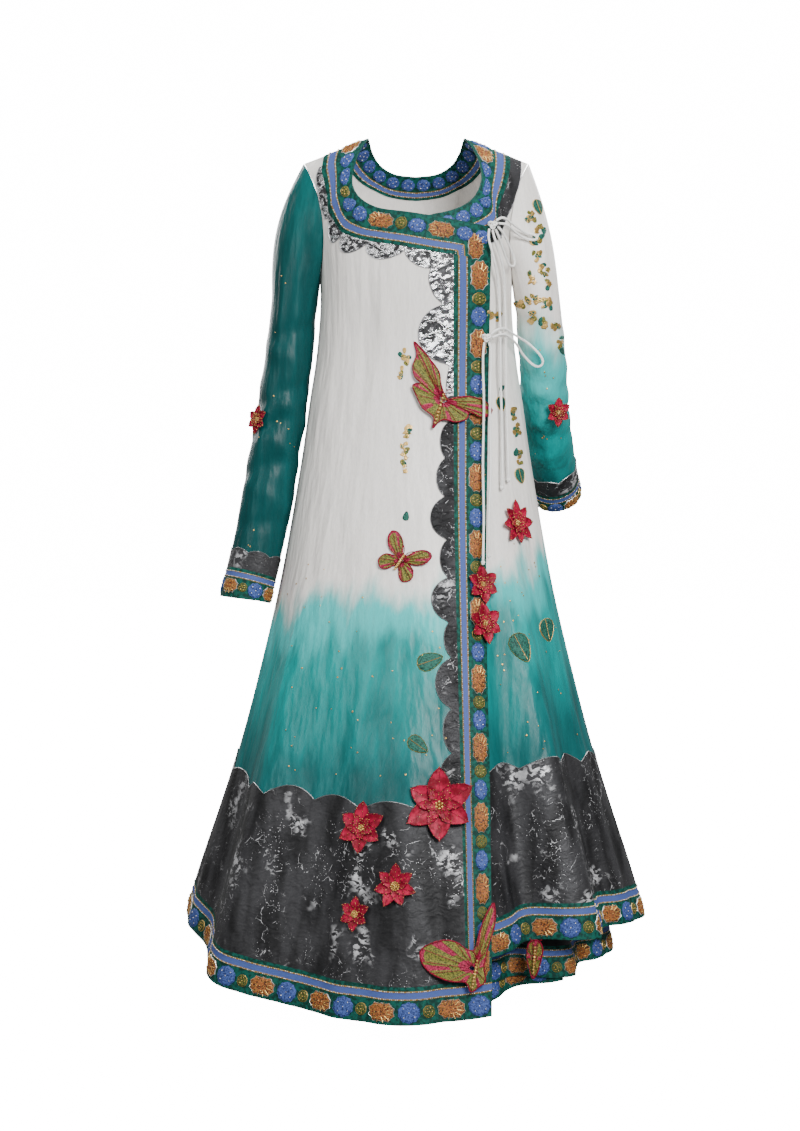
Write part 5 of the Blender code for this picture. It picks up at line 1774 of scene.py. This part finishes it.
# Flowers: x, z, radius, outer petals, inner petals
FLOWERS = (
    ("flower_waist", 0.162, -0.634, 0.034, 8, 6),
    ("flower_placket_upper", 0.104, -0.729, 0.028, 6, 5),
    ("flower_placket_lower", 0.107, -0.790, 0.030, 6, 5),
    ("flower_hem_large", 0.034, -1.063, 0.052, 6, 6),
    ("flower_hem_low", -0.034, -1.181, 0.031, 7, 0),
    ("flower_hem_side", -0.086, -1.100, 0.036, 6, 5),
    ("flower_hem_edge", -0.096, -1.228, 0.024, 6, 0),
    ("flower_right_sleeve", 0.236, -0.452, 0.022, 6, 5),
    ("flower_left_sleeve", -0.262, -0.465, 0.022, 6, 5),
)


def petal(radius, breadth, lift, curl):
    """A pointed petal along +Y with a hollow down its middle: its grid of points."""
    along = np.linspace(PETAL_START, 1.0, PETAL_ALONG)[:, None]
    across = np.linspace(-1.0, 1.0, PETAL_ACROSS)[None, :]
    half = breadth * np.maximum(np.sin(math.pi * along**0.9), 0.0) ** 0.6 * (1.16 - 0.36 * along)
    half = np.where(along > 0.999, TIP_HALF, np.maximum(half, LEAST_HALF))
    x = half * across
    y = radius * along * (1 - 0.05 * across**2)
    arch = lift * np.sin(math.pi * along * 0.9) + curl * along**2
    z = PETAL_LIFT + arch + PETAL_HOLLOW * half * np.abs(across) ** 1.5
    z = z + PETAL_RIPPLE * np.cos(across * 9.0) * along
    return np.stack([x, y + 0 * x, z + 0 * x], axis=-1)


def petal_faces():
    faces = []
    for k in range(PETAL_ALONG - 1):
        for i in range(PETAL_ACROSS - 1):
            a = k * PETAL_ACROSS + i
            faces.append((a, a + 1, a + PETAL_ACROSS + 1, a + PETAL_ACROSS))
    return faces


DARK_CRIMSON = (0.17, 0.0012, 0.012, 1.0)
CRIMSON = (0.40, 0.006, 0.042, 1.0)
PETAL_GLOSS = 0.20
PETAL_VEINS = (0.0035, 3.0, (1.0, 1.0, 2.0))
PETAL_CLOUDS = (0.012, 2.0)
PETAL_RELIEF = 0.0012


def petal_finish():
    """Crimson satin, passing at random between a dark and a lighter crimson, with fine vein marks."""
    material, shader, start = new_finish("petal_satin", SATIN_ROUGHNESS, gloss=PETAL_GLOSS)
    place = object_place(start)
    vein = grain(place, *PETAL_VEINS)
    cloud = grain(place, *PETAL_CLOUDS)
    colour = tint(passing(cloud, 0.40, 0.62), DARK_CRIMSON, CRIMSON)
    wire(shader, "Base Color", shaded(colour, 0.75 + vein * 0.5))
    wire(shader, "Roughness", 0.34 + vein * 0.25)
    wire(shader, "Normal", relief(vein, PETAL_RELIEF))
    return material


PETAL = petal_finish()
PETAL_EDGE = thread_finish("petal_cord", (0.26, 0.004, 0.026, 1.0), (0.090, 0.001, 0.008, 1.0))


def flower_shape(radius, outer, inner):
    """The parts of a flower: points, faces and paint, in its own upright frame."""
    parts = []
    cup = radius * PETAL_CUP
    for count, share, offset, rise in ((outer, 1.0, 0.0, 0.0), (inner, INNER_SHARE, 0.5, INNER_RISE)):
        for k in range(count):
            uneven = 1 + UNEVEN * math.sin(2.4 * k + 40 * radius)
            breadth = radius * share * PETAL_BREADTH * math.sin(math.pi / max(count, 5))
            reach = PETAL_REACH * radius * share * uneven
            grid = petal(reach, breadth, PETAL_ARCH * radius, cup * share)
            turn = Matrix.Rotation(2 * math.pi * (k + offset) / count, 4, "Z")
            grid = moved(turn, grid.reshape(-1, 3)) + (0.0, 0.0, rise)
            parts.append((grid, petal_faces(), 0))
            rows = grid.reshape(PETAL_ALONG, PETAL_ACROSS, 3)
            rim = np.vstack([rows[:, 0], rows[::-1, -1]])
            parts.append((*tube(rim, PETAL_CORD, 4), 1))
            for bead in rim[1::2]:
                parts.append((bead_points * RIM_BEAD + bead + (0.0, 0.0, VEIN_BEAD), bead_faces, 2))
            vein = rows[:-1, PETAL_ACROSS // 2] + (0.0, 0.0, 0.0003)
            parts.append((*tube(vein, VEIN_CORD, 3), 1))
            for bead in rows[2:-1:2, PETAL_ACROSS // 2]:
                parts.append((bead_points * VEIN_BEAD + bead + (0.0, 0.0, VEIN_BEAD), bead_faces, 2))
    boss = BOSS_SHARE * radius
    for ring, number in BOSS_RINGS:
        for k in range(number):
            turn = 2 * math.pi * k / number + ring
            rise = 0.0042 + 0.0022 * (1 - ring)
            place = (boss * ring * math.cos(turn), boss * ring * math.sin(turn), rise)
            parts.append((pearl_points * (0.042 * radius + 0.0006) + place, pearl_faces, 2))
    return parts


for flower_name, x, z, radius, outer, inner in FLOWERS:
    parts = flower_shape(radius, outer, inner)
    matrix = seat(x, z, np.vstack([part[0] for part in parts])[::3])
    heap = Heap()
    for points, faces, paint in parts:
        heap.add(moved(matrix, points), faces, paint)
    ornaments.append(heap.make(flower_name, [PETAL, PETAL_EDGE, GOLD], "flower", flower_name))

# Butterflies
# Padded satin wings, olive towards the body and rose towards the tips, with dark red corded
# edges and veins, bent back a little. The body is a row of gold beads. The one on the bodice has
# a long wing up, one down to its left and a double one to its right.

# Outlines, as x and z from the middle of the body
BODICE_WINGS = (
    (0.085, -0.013), (0.074, 0.000), (0.046, 0.008), (0.024, 0.006), (0.008, 0.004),
    (-0.001, 0.026), (-0.004, 0.048), (-0.017, 0.067), (-0.029, 0.083), (-0.043, 0.098),
    (-0.039, 0.077), (-0.046, 0.058), (-0.043, 0.040), (-0.034, 0.030), (-0.047, 0.027),
    (-0.042, 0.010), (-0.032, -0.011), (-0.015, -0.026), (-0.017, -0.044), (-0.007, -0.034),
    (0.003, -0.030), (0.022, -0.034), (0.040, -0.028), (0.045, -0.016), (0.062, -0.024),
    (0.078, -0.022),
)
HEM_WINGS = (
    (0.014, 0.004), (0.022, 0.036), (0.032, 0.068), (0.031, 0.099), (0.020, 0.084),
    (0.009, 0.058), (0.001, 0.030), (-0.012, 0.030), (-0.029, 0.041), (-0.052, 0.043),
    (-0.080, 0.031), (-0.081, 0.012), (-0.066, -0.006), (-0.038, -0.018), (-0.014, -0.020),
    (-0.006, -0.034), (0.006, -0.026), (0.016, -0.018),
)
FRONT_WINGS = (
    (0.012, 0.003), (0.026, 0.008), (0.037, 0.020), (0.038, 0.033), (0.027, 0.036),
    (0.013, 0.027), (0.004, 0.012), (-0.004, 0.012), (-0.013, 0.027), (-0.027, 0.036),
    (-0.038, 0.033), (-0.037, 0.020), (-0.026, 0.008), (-0.012, 0.003), (-0.026, -0.003),
    (-0.031, -0.016), (-0.022, -0.026), (-0.012, -0.022), (-0.004, -0.011), (0.004, -0.011),
    (0.012, -0.022), (0.022, -0.026), (0.031, -0.016), (0.026, -0.003),
)
FLAP_WING = (
    (0.011, 0.002), (0.013, 0.018), (0.007, 0.030), (-0.004, 0.031), (-0.011, 0.022),
    (-0.012, 0.004), (-0.008, -0.013), (-0.002, -0.029), (0.006, -0.018),
)

# Butterflies: centre x, centre z, tilt, how far the wings bend back, outline, the body's ends
BUTTERFLIES = (
    ("butterfly_bodice", 0.040, -0.436, 0, 1.8, BODICE_WINGS, (-0.013, -0.036), (0.002, 0.010)),
    ("butterfly_front", -0.026, -0.690, -32, -1.5, FRONT_WINGS, (0.0, -0.016), (0.0, 0.010)),
    ("butterfly_hem", 0.0865, -1.302, 0, 0.8, HEM_WINGS, (-0.004, -0.028), (0.004, 0.012)),
    ("flap_wing", 0.196, -1.322, 0, 0.0, FLAP_WING, (-0.001, -0.020), (0.001, 0.020)),
)
WING_SHARES = (0.10, 0.30, 0.50, 0.68, 0.82, 0.93, 1.0)
WING_PUFF = 0.0016
WING_SETTLE = 0.0012
WING_CORD = 0.0011
TIP_SHARE = 0.80
BODY_BEADS = 9
BODY_HEIGHT = 0.0034

# Feelers: reach from the head, spread to the side
FEELER = ((0.0, 0.001), (0.008, 0.004), (0.014, 0.010))
FEELER_THICK = 0.0006
OLIVE_THREAD = thread_finish("olive_thread", (0.20, 0.19, 0.035, 1.0), (0.060, 0.070, 0.012, 1.0))
ROSE_THREAD = thread_finish("rose_thread", (0.42, 0.030, 0.085, 1.0), (0.15, 0.006, 0.020, 1.0))


def butterfly_shape(outline, bend, tail, head):
    """The parts of a butterfly, in its own upright frame."""
    edge = smooth_line(outline + outline[:1], 4)[:-1]
    shares = np.array(WING_SHARES)[:, None, None]
    fan = edge[None] * shares
    quilted = 0.6 + 0.4 * np.cos(np.arange(len(edge)) * 1.57)
    puff = WING_PUFF * np.sin(math.pi * shares[..., 0]) * quilted
    height = WING_SETTLE + puff - bend * fan[..., 0] ** 2
    grid = np.concatenate([fan, height[..., None]], axis=-1)
    rows, columns = grid.shape[:2]
    size = np.linalg.norm(edge, axis=1)
    far = size > TIP_SHARE * size.max()
    paints = []
    for k in range(rows - 1):
        for i in range(columns):
            paints.append(1 if k == 0 or (k > 4 and far[i]) or (k > 1 and i % 9 < 2) else 0)
    parts = [(grid.reshape(-1, 3), band_faces(rows, columns), paints)]
    parts.append((*tube(grid[-1] + (0, 0, 0.0004), WING_CORD, 5, closed=True), 2))
    for i in range(0, columns, 4):
        parts.append((*tube(grid[:, i] + (0, 0, VEIN_CORD), VEIN_CORD, 3), 2))
    for i in range(1, columns, 2):
        parts.append((bead_points * RIM_BEAD + grid[4, i] + (0, 0, 0.0010), bead_faces, 3))
    tail, head = np.array(tail), np.array(head)
    for share in np.linspace(0, 1, BODY_BEADS):
        x, z = tail + (head - tail) * share
        girth = 0.0024 + 0.0008 * math.sin(math.pi * share)
        parts.append((pearl_points * girth + (x, z, BODY_HEIGHT), pearl_faces, 3))
    way = (head - tail) / np.linalg.norm(head - tail)
    aside = np.array((way[1], -way[0]))
    for side in (-1, 1):
        stops = [head + way * reach + aside * side * spread for reach, spread in FEELER]
        feeler = smooth_line([(*stop, BODY_HEIGHT) for stop in stops], 5)
        parts.append((*tube(feeler, FEELER_THICK, 4), 2))
    return parts


for butterfly_name, x, z, tilt, bend, outline, tail, head in BUTTERFLIES:
    parts = butterfly_shape(outline, bend, tail, head)
    matrix = seat(x, z, np.vstack([part[0] for part in parts])[::3], tilt)
    heap = Heap()
    for points, faces, paint in parts:
        heap.add(moved(matrix, points), faces, paint)
    finishes = [OLIVE_THREAD, ROSE_THREAD, PETAL_EDGE, GOLD]
    nodes = [] if butterfly_name == "flap_wing" else [butterfly_name]
    ornaments.append(heap.make(butterfly_name, finishes, "butterfly", *nodes))

# Embroidered leaves, clusters and sequins
# Large leaves are padded green thread with gold veins, the clusters are small gold and green
# leaves with seed beads, and single sequins are scattered over the dyed cloth.


def seen_at(px, py):
    """The gown's face behind a pixel of the photograph."""
    focal = LENS / SENSOR * PHOTO_HEIGHT
    ray = Vector(((px - PHOTO_WIDTH / 2) / focal, (PHOTO_HEIGHT / 2 - py) / focal, -1.0))
    ray = Matrix.Rotation(math.radians(CAMERA_TILT), 3, "X") @ ray
    return GOWN_FACE.ray_cast(Vector(CAMERA_PLACE), ray.normalized())[0]


def laid(places):
    """Points on the gown for places seen from the front: x, z and height above the cloth."""
    result = []
    for x, z, height in places:
        place, normal = front_of(x, z)
        result.append(tuple(place + normal * height))
    return np.array(result)


# Leaves: pixel across, pixel down, length, turn in degrees
LEAVES = (
    (430, 661, 0.042, 18),
    (418, 745, 0.036, -35),
    (521, 648, 0.050, -62),
    (547, 630, 0.038, -78),
    (501, 404, 0.024, -80),
    (502, 388, 0.012, 50),
    (520, 476, 0.026, -75),
    (516, 452, 0.014, 80),
    (538, 207, 0.026, -70),
    (542, 236, 0.013, 40),
    (535, 243, 0.013, -30),
    (562, 351, 0.014, -60),
    (406, 516, 0.016, 80),
)

# Clusters of small gold leaves and beads: pixel across, pixel down, spreads, how many
CLUSTERS = (
    (531, 218, 4, 6, 9),
    (540, 229, 5, 4, 8),
    (536, 241, 5, 5, 8),
    (537, 256, 5, 6, 9),
    (544, 269, 5, 6, 11),
    (548, 284, 3, 5, 5),
    (532, 278, 3, 8, 6),
    (519, 304, 5, 5, 7),
    (532, 300, 7, 5, 10),
    (543, 302, 6, 5, 9),
    (551, 304, 4, 4, 5),
    (532, 317, 5, 5, 9),
    (543, 323, 5, 5, 8),
    (555, 327, 4, 4, 5),
    (560, 342, 3, 6, 5),
    (490, 317, 4, 6, 6),
    (498, 316, 3, 6, 5),
    (514, 410, 3, 9, 8),
    (517, 432, 3, 10, 8),
    (519, 456, 3, 10, 8),
    (405, 356, 5, 8, 10),
    (400, 372, 3, 8, 5),
    (408, 432, 4, 7, 9),
    (405, 450, 4, 8, 9),
    (403, 470, 3, 8, 5),
)
LEAF_PAD = thread_finish("leaf_pad", (0.020, 0.130, 0.095, 1.0), (0.004, 0.040, 0.030, 1.0))
OLIVE, GREEN, GOLDLEAF = range(3)
CLUSTER_PAINTS = (GOLDLEAF, GOLDLEAF, OLIVE, GREEN)
LEAF_RISE = 0.0012
CLUSTER_RISE = 0.0009
LEAF_CORD = 0.0008
LEAF_VEIN = 0.0006
LEAF_VEIN_SHARES = (-0.46, -0.2, 0.1, 0.42)
LEAST_VEINED = 0.016
LEAF_POINTS = 14
SEED_BEAD = 0.0010
SEED_REACH = 0.004
SEQUIN_LIFT = 0.0006
SEQUIN_THICK = 0.0005
FACING = -0.3


def leaf(heap, x, z, length, turn, pad_paint, rise):
    """A pointed padded leaf with a gold vein and a couched edge."""
    turns = 2 * math.pi * np.arange(LEAF_POINTS) / LEAF_POINTS
    outline = np.stack([np.cos(turns), 0.62 * np.sin(turns) * (1 - 0.40 * np.cos(turns))], axis=1)
    outline = outline * (length / 2)
    spin = np.array(((math.cos(turn), math.sin(turn)), (-math.sin(turn), math.cos(turn))))

    def put(points):
        flat = points[:, :2] @ spin + (x, z)
        return laid(np.column_stack([flat, points[:, 2]]))

    points, faces = pad(outline, rise)
    heap.add(put(points), [face[::-1] for face in faces], pad_paint)
    if length > LEAST_VEINED:
        points, faces = ridge(outline, LEAF_CORD)
        heap.add(put(points), [face[::-1] for face in faces], GOLDLEAF)
        vein = [(share * length, 0.0, rise * 1.1) for share in LEAF_VEIN_SHARES]
        corners, faces = tube(np.array(vein), LEAF_VEIN, 3)
        heap.add(put(corners), faces, GOLDLEAF)


embroidery = Heap()
for px, py, length, turn in LEAVES:
    place = seen_at(px, py)
    if place is not None:
        leaf(embroidery, place.x, place.z, length, math.radians(turn), GREEN, LEAF_RISE)
dice = np.random.default_rng(5)
for px, py, wide, tall, count in CLUSTERS:
    for k in range(count):
        around, far = dice.uniform(0, 2 * math.pi), math.sqrt(dice.uniform(0, 1))
        place = seen_at(px + wide * far * math.cos(around), py + tall * far * math.sin(around))
        if place is None:
            continue
        length, turn = dice.uniform(0.0080, 0.0120), dice.uniform(0, 2 * math.pi)
        leaf(embroidery, place.x, place.z, length, turn, CLUSTER_PAINTS[k % 4], CLUSTER_RISE)
        x, z = place.x + SEED_REACH * math.cos(k), place.z + SEED_REACH * math.sin(k)
        for spot in laid([(x, z, SEQUIN_LIFT)]):
            embroidery.add(pearl_points * SEED_BEAD + spot, pearl_faces, GOLDLEAF)
embroidery.make("embroidery", [OLIVE_THREAD, LEAF_PAD, GOLD], "satin")

# Scattered sequins: low and high corner of each field, how many
SEQUIN_FIELDS = (
    ((-0.22, -1.03), (0.05, -0.70), 46),
    ((0.12, -1.00), (0.27, -0.66), 44),
    ((0.20, -0.53), (0.25, -0.33), 14),
    ((-0.29, -0.68), (-0.20, -0.20), 22),
)
chance = np.random.default_rng(11)
sequins = Heap()
for low, high, count in SEQUIN_FIELDS:
    for x, z in chance.uniform(low, high, (count, 2)):
        place, normal, _, _ = GOWN_FACE.ray_cast(Vector((x, BEFORE_GOWN, z)), BACKWARD)
        if place is not None and normal.y < FACING:
            disc = normal.to_track_quat("Z", "Y").to_matrix().to_4x4()
            disc = Matrix.Translation(place + normal * SEQUIN_LIFT) @ disc
            size = chance.uniform(0.0011, 0.0019)
            sequins.add(moved(disc, pearl_points * (size, size, SEQUIN_THICK)), pearl_faces)
sequins.make("sequins", [GOLD], "satin")

# Ties
# Two bows of round white cotton cord close the placket, at the neck and at the waist. Each is
# drawn through the placket's edge and knotted, with its loops and tails left hanging.
CORD = 0.0040
CORD_CLEAR = 0.0016
CORD_STEP = 0.0036
KNOT_SIZE = (0.0088, 0.0062, 0.0080)
KNOT_GAP = 0.0007
KNOT_POINTS = 48
KNOT_INSET, KNOT_THICK = 0.45, 0.46
END_KNOT_SIZE = (0.0036, 0.0034, 0.0040)
END_KNOT_DROP = 0.003

# Where the upper tails cross over the lower bow: top, bottom, how far they rise, how softly
CROSSING = (-0.300, -0.390, 0.0068, 0.030)

# A cord lies clear of what is this near beside it and along it. Its depth is evened out over so
# many steps to each side, and the first steps lead to the knot
CORD_BESIDE = (-0.006, 0.0, 0.006)
CORD_ALONG = (-0.014, 0.0, 0.014)
LEAST_STEPS = 4
MEAN_STEPS = 3
CORD_BLEND = 7

# Share of the crossing's rise that each bow's cords take
CROSSING_SHARE = {"upper": 1.0, "lower": 0.0}

# Routes of the cords from their knots, seen from the front: x, z
CORD_ROUTES = {
    ("upper", "loop_long"): (
        (0.1290, -0.1424), (0.1380, -0.1375), (0.1470, -0.1395), (0.1650, -0.1505),
        (0.1815, -0.1590), (0.1950, -0.1620), (0.1990, -0.1665), (0.1940, -0.1700),
        (0.1795, -0.1675), (0.1620, -0.1585), (0.1470, -0.1485), (0.1320, -0.1469),
    ),
    ("upper", "loop_short"): (
        (0.1315, -0.1522), (0.1410, -0.1620), (0.1530, -0.1830), (0.1610, -0.2020),
        (0.1600, -0.2130), (0.1520, -0.2110), (0.1455, -0.1980), (0.1380, -0.1790),
        (0.1283, -0.1567),
    ),
    ("upper", "tail_outer"): (
        (0.1229, -0.158), (0.1270, -0.172), (0.1360, -0.197), (0.1435, -0.230),
        (0.1460, -0.300), (0.147, -0.400), (0.149, -0.500), (0.150, -0.560),
    ),
    ("upper", "tail_inner"): (
        (0.1177, -0.156), (0.1170, -0.172), (0.1245, -0.200), (0.1330, -0.240),
        (0.1370, -0.300), (0.1380, -0.400), (0.1400, -0.500), (0.1390, -0.572),
    ),
    ("lower", "loop_long"): (
        (0.1205, -0.3265), (0.1300, -0.3190), (0.1443, -0.3160), (0.1628, -0.3255),
        (0.1813, -0.3355), (0.1957, -0.3473), (0.2082, -0.3619), (0.2100, -0.3722),
        (0.2030, -0.3770), (0.1930, -0.3730), (0.1780, -0.3575), (0.1640, -0.3385),
        (0.1490, -0.3270), (0.1360, -0.3260), (0.1235, -0.3312),
    ),
    ("lower", "tail_outer"): (
        (0.1185, -0.339), (0.1215, -0.360), (0.1190, -0.450), (0.1200, -0.540),
        (0.1165, -0.620), (0.1160, -0.680),
    ),
    ("lower", "tail_inner"): (
        (0.1105, -0.339), (0.1080, -0.370), (0.1090, -0.450), (0.1070, -0.540),
        (0.1080, -0.620), (0.1060, -0.690),
    ),
}


def dressed_face():
    """The front of the gown with its ornaments, which the cords lie on too."""
    points, faces = list(gown_points), list(gown_faces)
    for piece in ornaments:
        first = len(points)
        points += [vertex.co.copy() for vertex in piece.data.vertices]
        faces += [[first + corner for corner in face.vertices] for face in piece.data.polygons]
    return BVHTree.FromPolygons(points, faces)


DRESSED_FACE = dressed_face()


COTTON_WHITE = (0.95, 0.94, 0.91, 1.0)
COTTON_ROUGHNESS = 0.75
COTTON_SHEEN = 0.1
COTTON_RELIEF = 0.0005
TWISTS = {"Scale": 120.0, "Distortion": 0.5}
FUZZ = (0.0008, 2.0)


def cord_finish():
    """Soft white cotton, twisted."""
    material, shader, start = new_finish("cotton_cord", COTTON_ROUGHNESS, sheen=COTTON_SHEEN)
    place = object_place(start)
    settings = {"wave_type": "BANDS", "bands_direction": "DIAGONAL"}
    twist = start.node("ShaderNodeTexWave", settings, {"Vector": place, **TWISTS})
    fuzz = grain(place, *FUZZ)
    wire(shader, "Base Color", shaded(COTTON_WHITE, 0.92 + twist * 0.08))
    wire(shader, "Roughness", 0.65 + fuzz * 0.2)
    wire(shader, "Normal", relief(twist + fuzz * 0.3, COTTON_RELIEF))
    return material


COTTON = cord_finish()


def beside_knot(centre, end):
    """Where a cord meets a knot, on the side that its route leaves to."""
    away = Vector((end[0] - centre.x, 0.0, end[1] - centre.z)).normalized()
    reach = 1 / math.hypot(away.x / KNOT_SIZE[0], away.z / KNOT_SIZE[2])
    return centre + away * (reach + KNOT_GAP)


def tie(name, route, centre, over, looped):
    """A tie cord laid over the gown's face from a knot, along a route seen from the front."""
    route = [list(point) for point in route]
    start = beside_knot(centre, route[0])
    route[0] = [start.x, start.z]
    if looped:
        end = beside_knot(centre, route[-1])
        route[-1] = [end.x, end.z]
    line = smooth_line(route)
    length = np.linalg.norm(np.diff(line, axis=0), axis=1).sum()
    flat = line_at(line, np.linspace(0, 1, max(8, round(length / CORD_STEP)) + 1))
    top, bottom, rise, soft = CROSSING
    depths = []
    for x, z in flat:
        spots = [(x + dx, z + dz) for dx in CORD_BESIDE for dz in CORD_ALONG]
        near = min(front_of(*spot)[0].y for spot in spots) - CORD_CLEAR
        raised = min(front_of(*spot, DRESSED_FACE)[0].y for spot in spots) - SEAM
        cross = eased((top + soft - z) / soft) * eased((z - bottom + soft) / soft)
        depths.append(min(near, raised) - CORD / 2 - over * cross * rise)
    calm = [min(depths[max(k - LEAST_STEPS, 0) : k + LEAST_STEPS + 1]) for k in range(len(depths))]
    calm = [np.mean(calm[max(k - MEAN_STEPS, 0) : k + MEAN_STEPS + 1]) for k in range(len(calm))]
    for k in range(CORD_BLEND):
        toward = 1 - k / CORD_BLEND
        calm[k] += (centre.y - calm[k]) * toward
        if looped:
            calm[-1 - k] += (centre.y - calm[-1 - k]) * toward
    shape = bpy.data.curves.new(name, "CURVE")
    shape.dimensions = "3D"
    shape.bevel_depth = CORD / 2
    shape.bevel_resolution = 3
    shape.use_fill_caps = True
    spline = shape.splines.new("POLY")
    spline.points.add(len(flat) - 1)
    for point, (x, z), y in zip(spline.points, flat, calm):
        point.co = (x, y, z, 1.0)
    piece = bpy.data.objects.new(name, shape)
    bpy.context.scene.collection.objects.link(piece)
    shape.materials.append(COTTON)
    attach(piece, "root")
    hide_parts(name)
    return piece, np.column_stack([flat[:, 0], calm, flat[:, 1]])


def knot_shape(centre, size):
    """An overhand knot of the same cord, drawn tight."""
    turns = 2 * math.pi * np.arange(KNOT_POINTS) / KNOT_POINTS
    path = np.stack([
        np.sin(turns) + 2 * np.sin(2 * turns),
        -1.2 * np.sin(3 * turns),
        np.cos(turns) - 2 * np.cos(2 * turns),
    ], axis=1) / 3
    inner = np.array(size) - CORD * KNOT_INSET
    return tube(path * inner + np.array(centre), CORD * KNOT_THICK, 8, closed=True)


knots = {}
for bow in CROSSING_SHARE:
    low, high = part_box("knot_" + bow)
    centre = (Vector(low) + Vector(high)) / 2
    heap = Heap()
    heap.add(*knot_shape(centre, KNOT_SIZE))
    knots[bow] = centre, heap.make("knot_" + bow, [COTTON], "cord", "knot_" + bow)

# Each cord is as long as its line, from the knot to its free end or back to the knot
for (bow, part), route in CORD_ROUTES.items():
    looped = part.startswith("loop")
    centre, knot = knots[bow]
    piece, points = tie(part + "_" + bow, route, centre, CROSSING_SHARE[bow], looped)
    length = float(np.linalg.norm(np.diff(points, axis=0), axis=1).sum())
    with_pieces = [knot]
    if not looped:
        heap = Heap()
        heap.add(*knot_shape(points[-1] + (0.0, 0.0, -END_KNOT_DROP), END_KNOT_SIZE))
        with_pieces = [heap.make(part + "_" + bow + "_knot", [COTTON], "cord")]
    tuple(points[0])

# Cuts of the cloth
# Each panel, sleeve and layer as its cloth was cut: width and length of the piece before sewing,
# what it hangs from, its area, and the borders sewn to it.
overlap_trims = [ribbons[name + "_ribbon"] for name in ("overlap_neck", "placket", "overlap_hem")]
overlap_trims += [foils[name] for name in ("overlap_hem_foil", "placket_foil", "neck_foil")]
right_trims = [ribbons["right_neck_ribbon"], ribbons["right_hem_ribbon"]]
right_trims += [foils["right_hem_foil"], foils["shoulder_foil"]]
back_trims = [ribbons[name] for name in ("back_neck_ribbon", "back_neck_facing", "back_hem_ribbon")]
back_trims += [foils["back_hem_foil"]]
for piece, flat, hangs_from, area, trims in (
    (overlap_cloth, (0.76, 1.35), [back_cloth], 0.630, overlap_trims),
    (right_cloth, (0.75, 1.34), [back_cloth], 0.509, right_trims),
    (back_cloth, (1.21, 1.39), [overlap_cloth, right_cloth], 0.902, back_trims),
    (sleeve_cloths[-1], (0.49, 0.75), [overlap_cloth, back_cloth], 0.197,
     [foils["cuff_foil_left"], ribbons["cuff_ribbon_left"]]),
    (sleeve_cloths[1], (0.49, 0.63), [right_cloth, back_cloth], 0.161,
     [foils["cuff_foil_right"], ribbons["cuff_ribbon_right"]]),
    (under_pieces["underskirt_front"], (1.06, 0.88), [overlap_cloth, right_cloth], 0.653,
     [ribbons["underskirt_front_ribbon"], foils["underskirt_front_foil"]]),
    (under_pieces["underskirt_back"], (1.03, 0.89), [back_cloth], 0.650,
     [ribbons["underskirt_back_ribbon"], foils["underskirt_back_foil"]]),
    (under_pieces["underflap"], (0.21, 0.19), [under_pieces["underskirt_front"]], 0.0352,
     [ribbons["underflap_ribbon"]]),
):
    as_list(hangs_from)
    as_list(trims)

size = {"cad": [list(corner) for corner in cad_box], "visual": [list(corner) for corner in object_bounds()]}
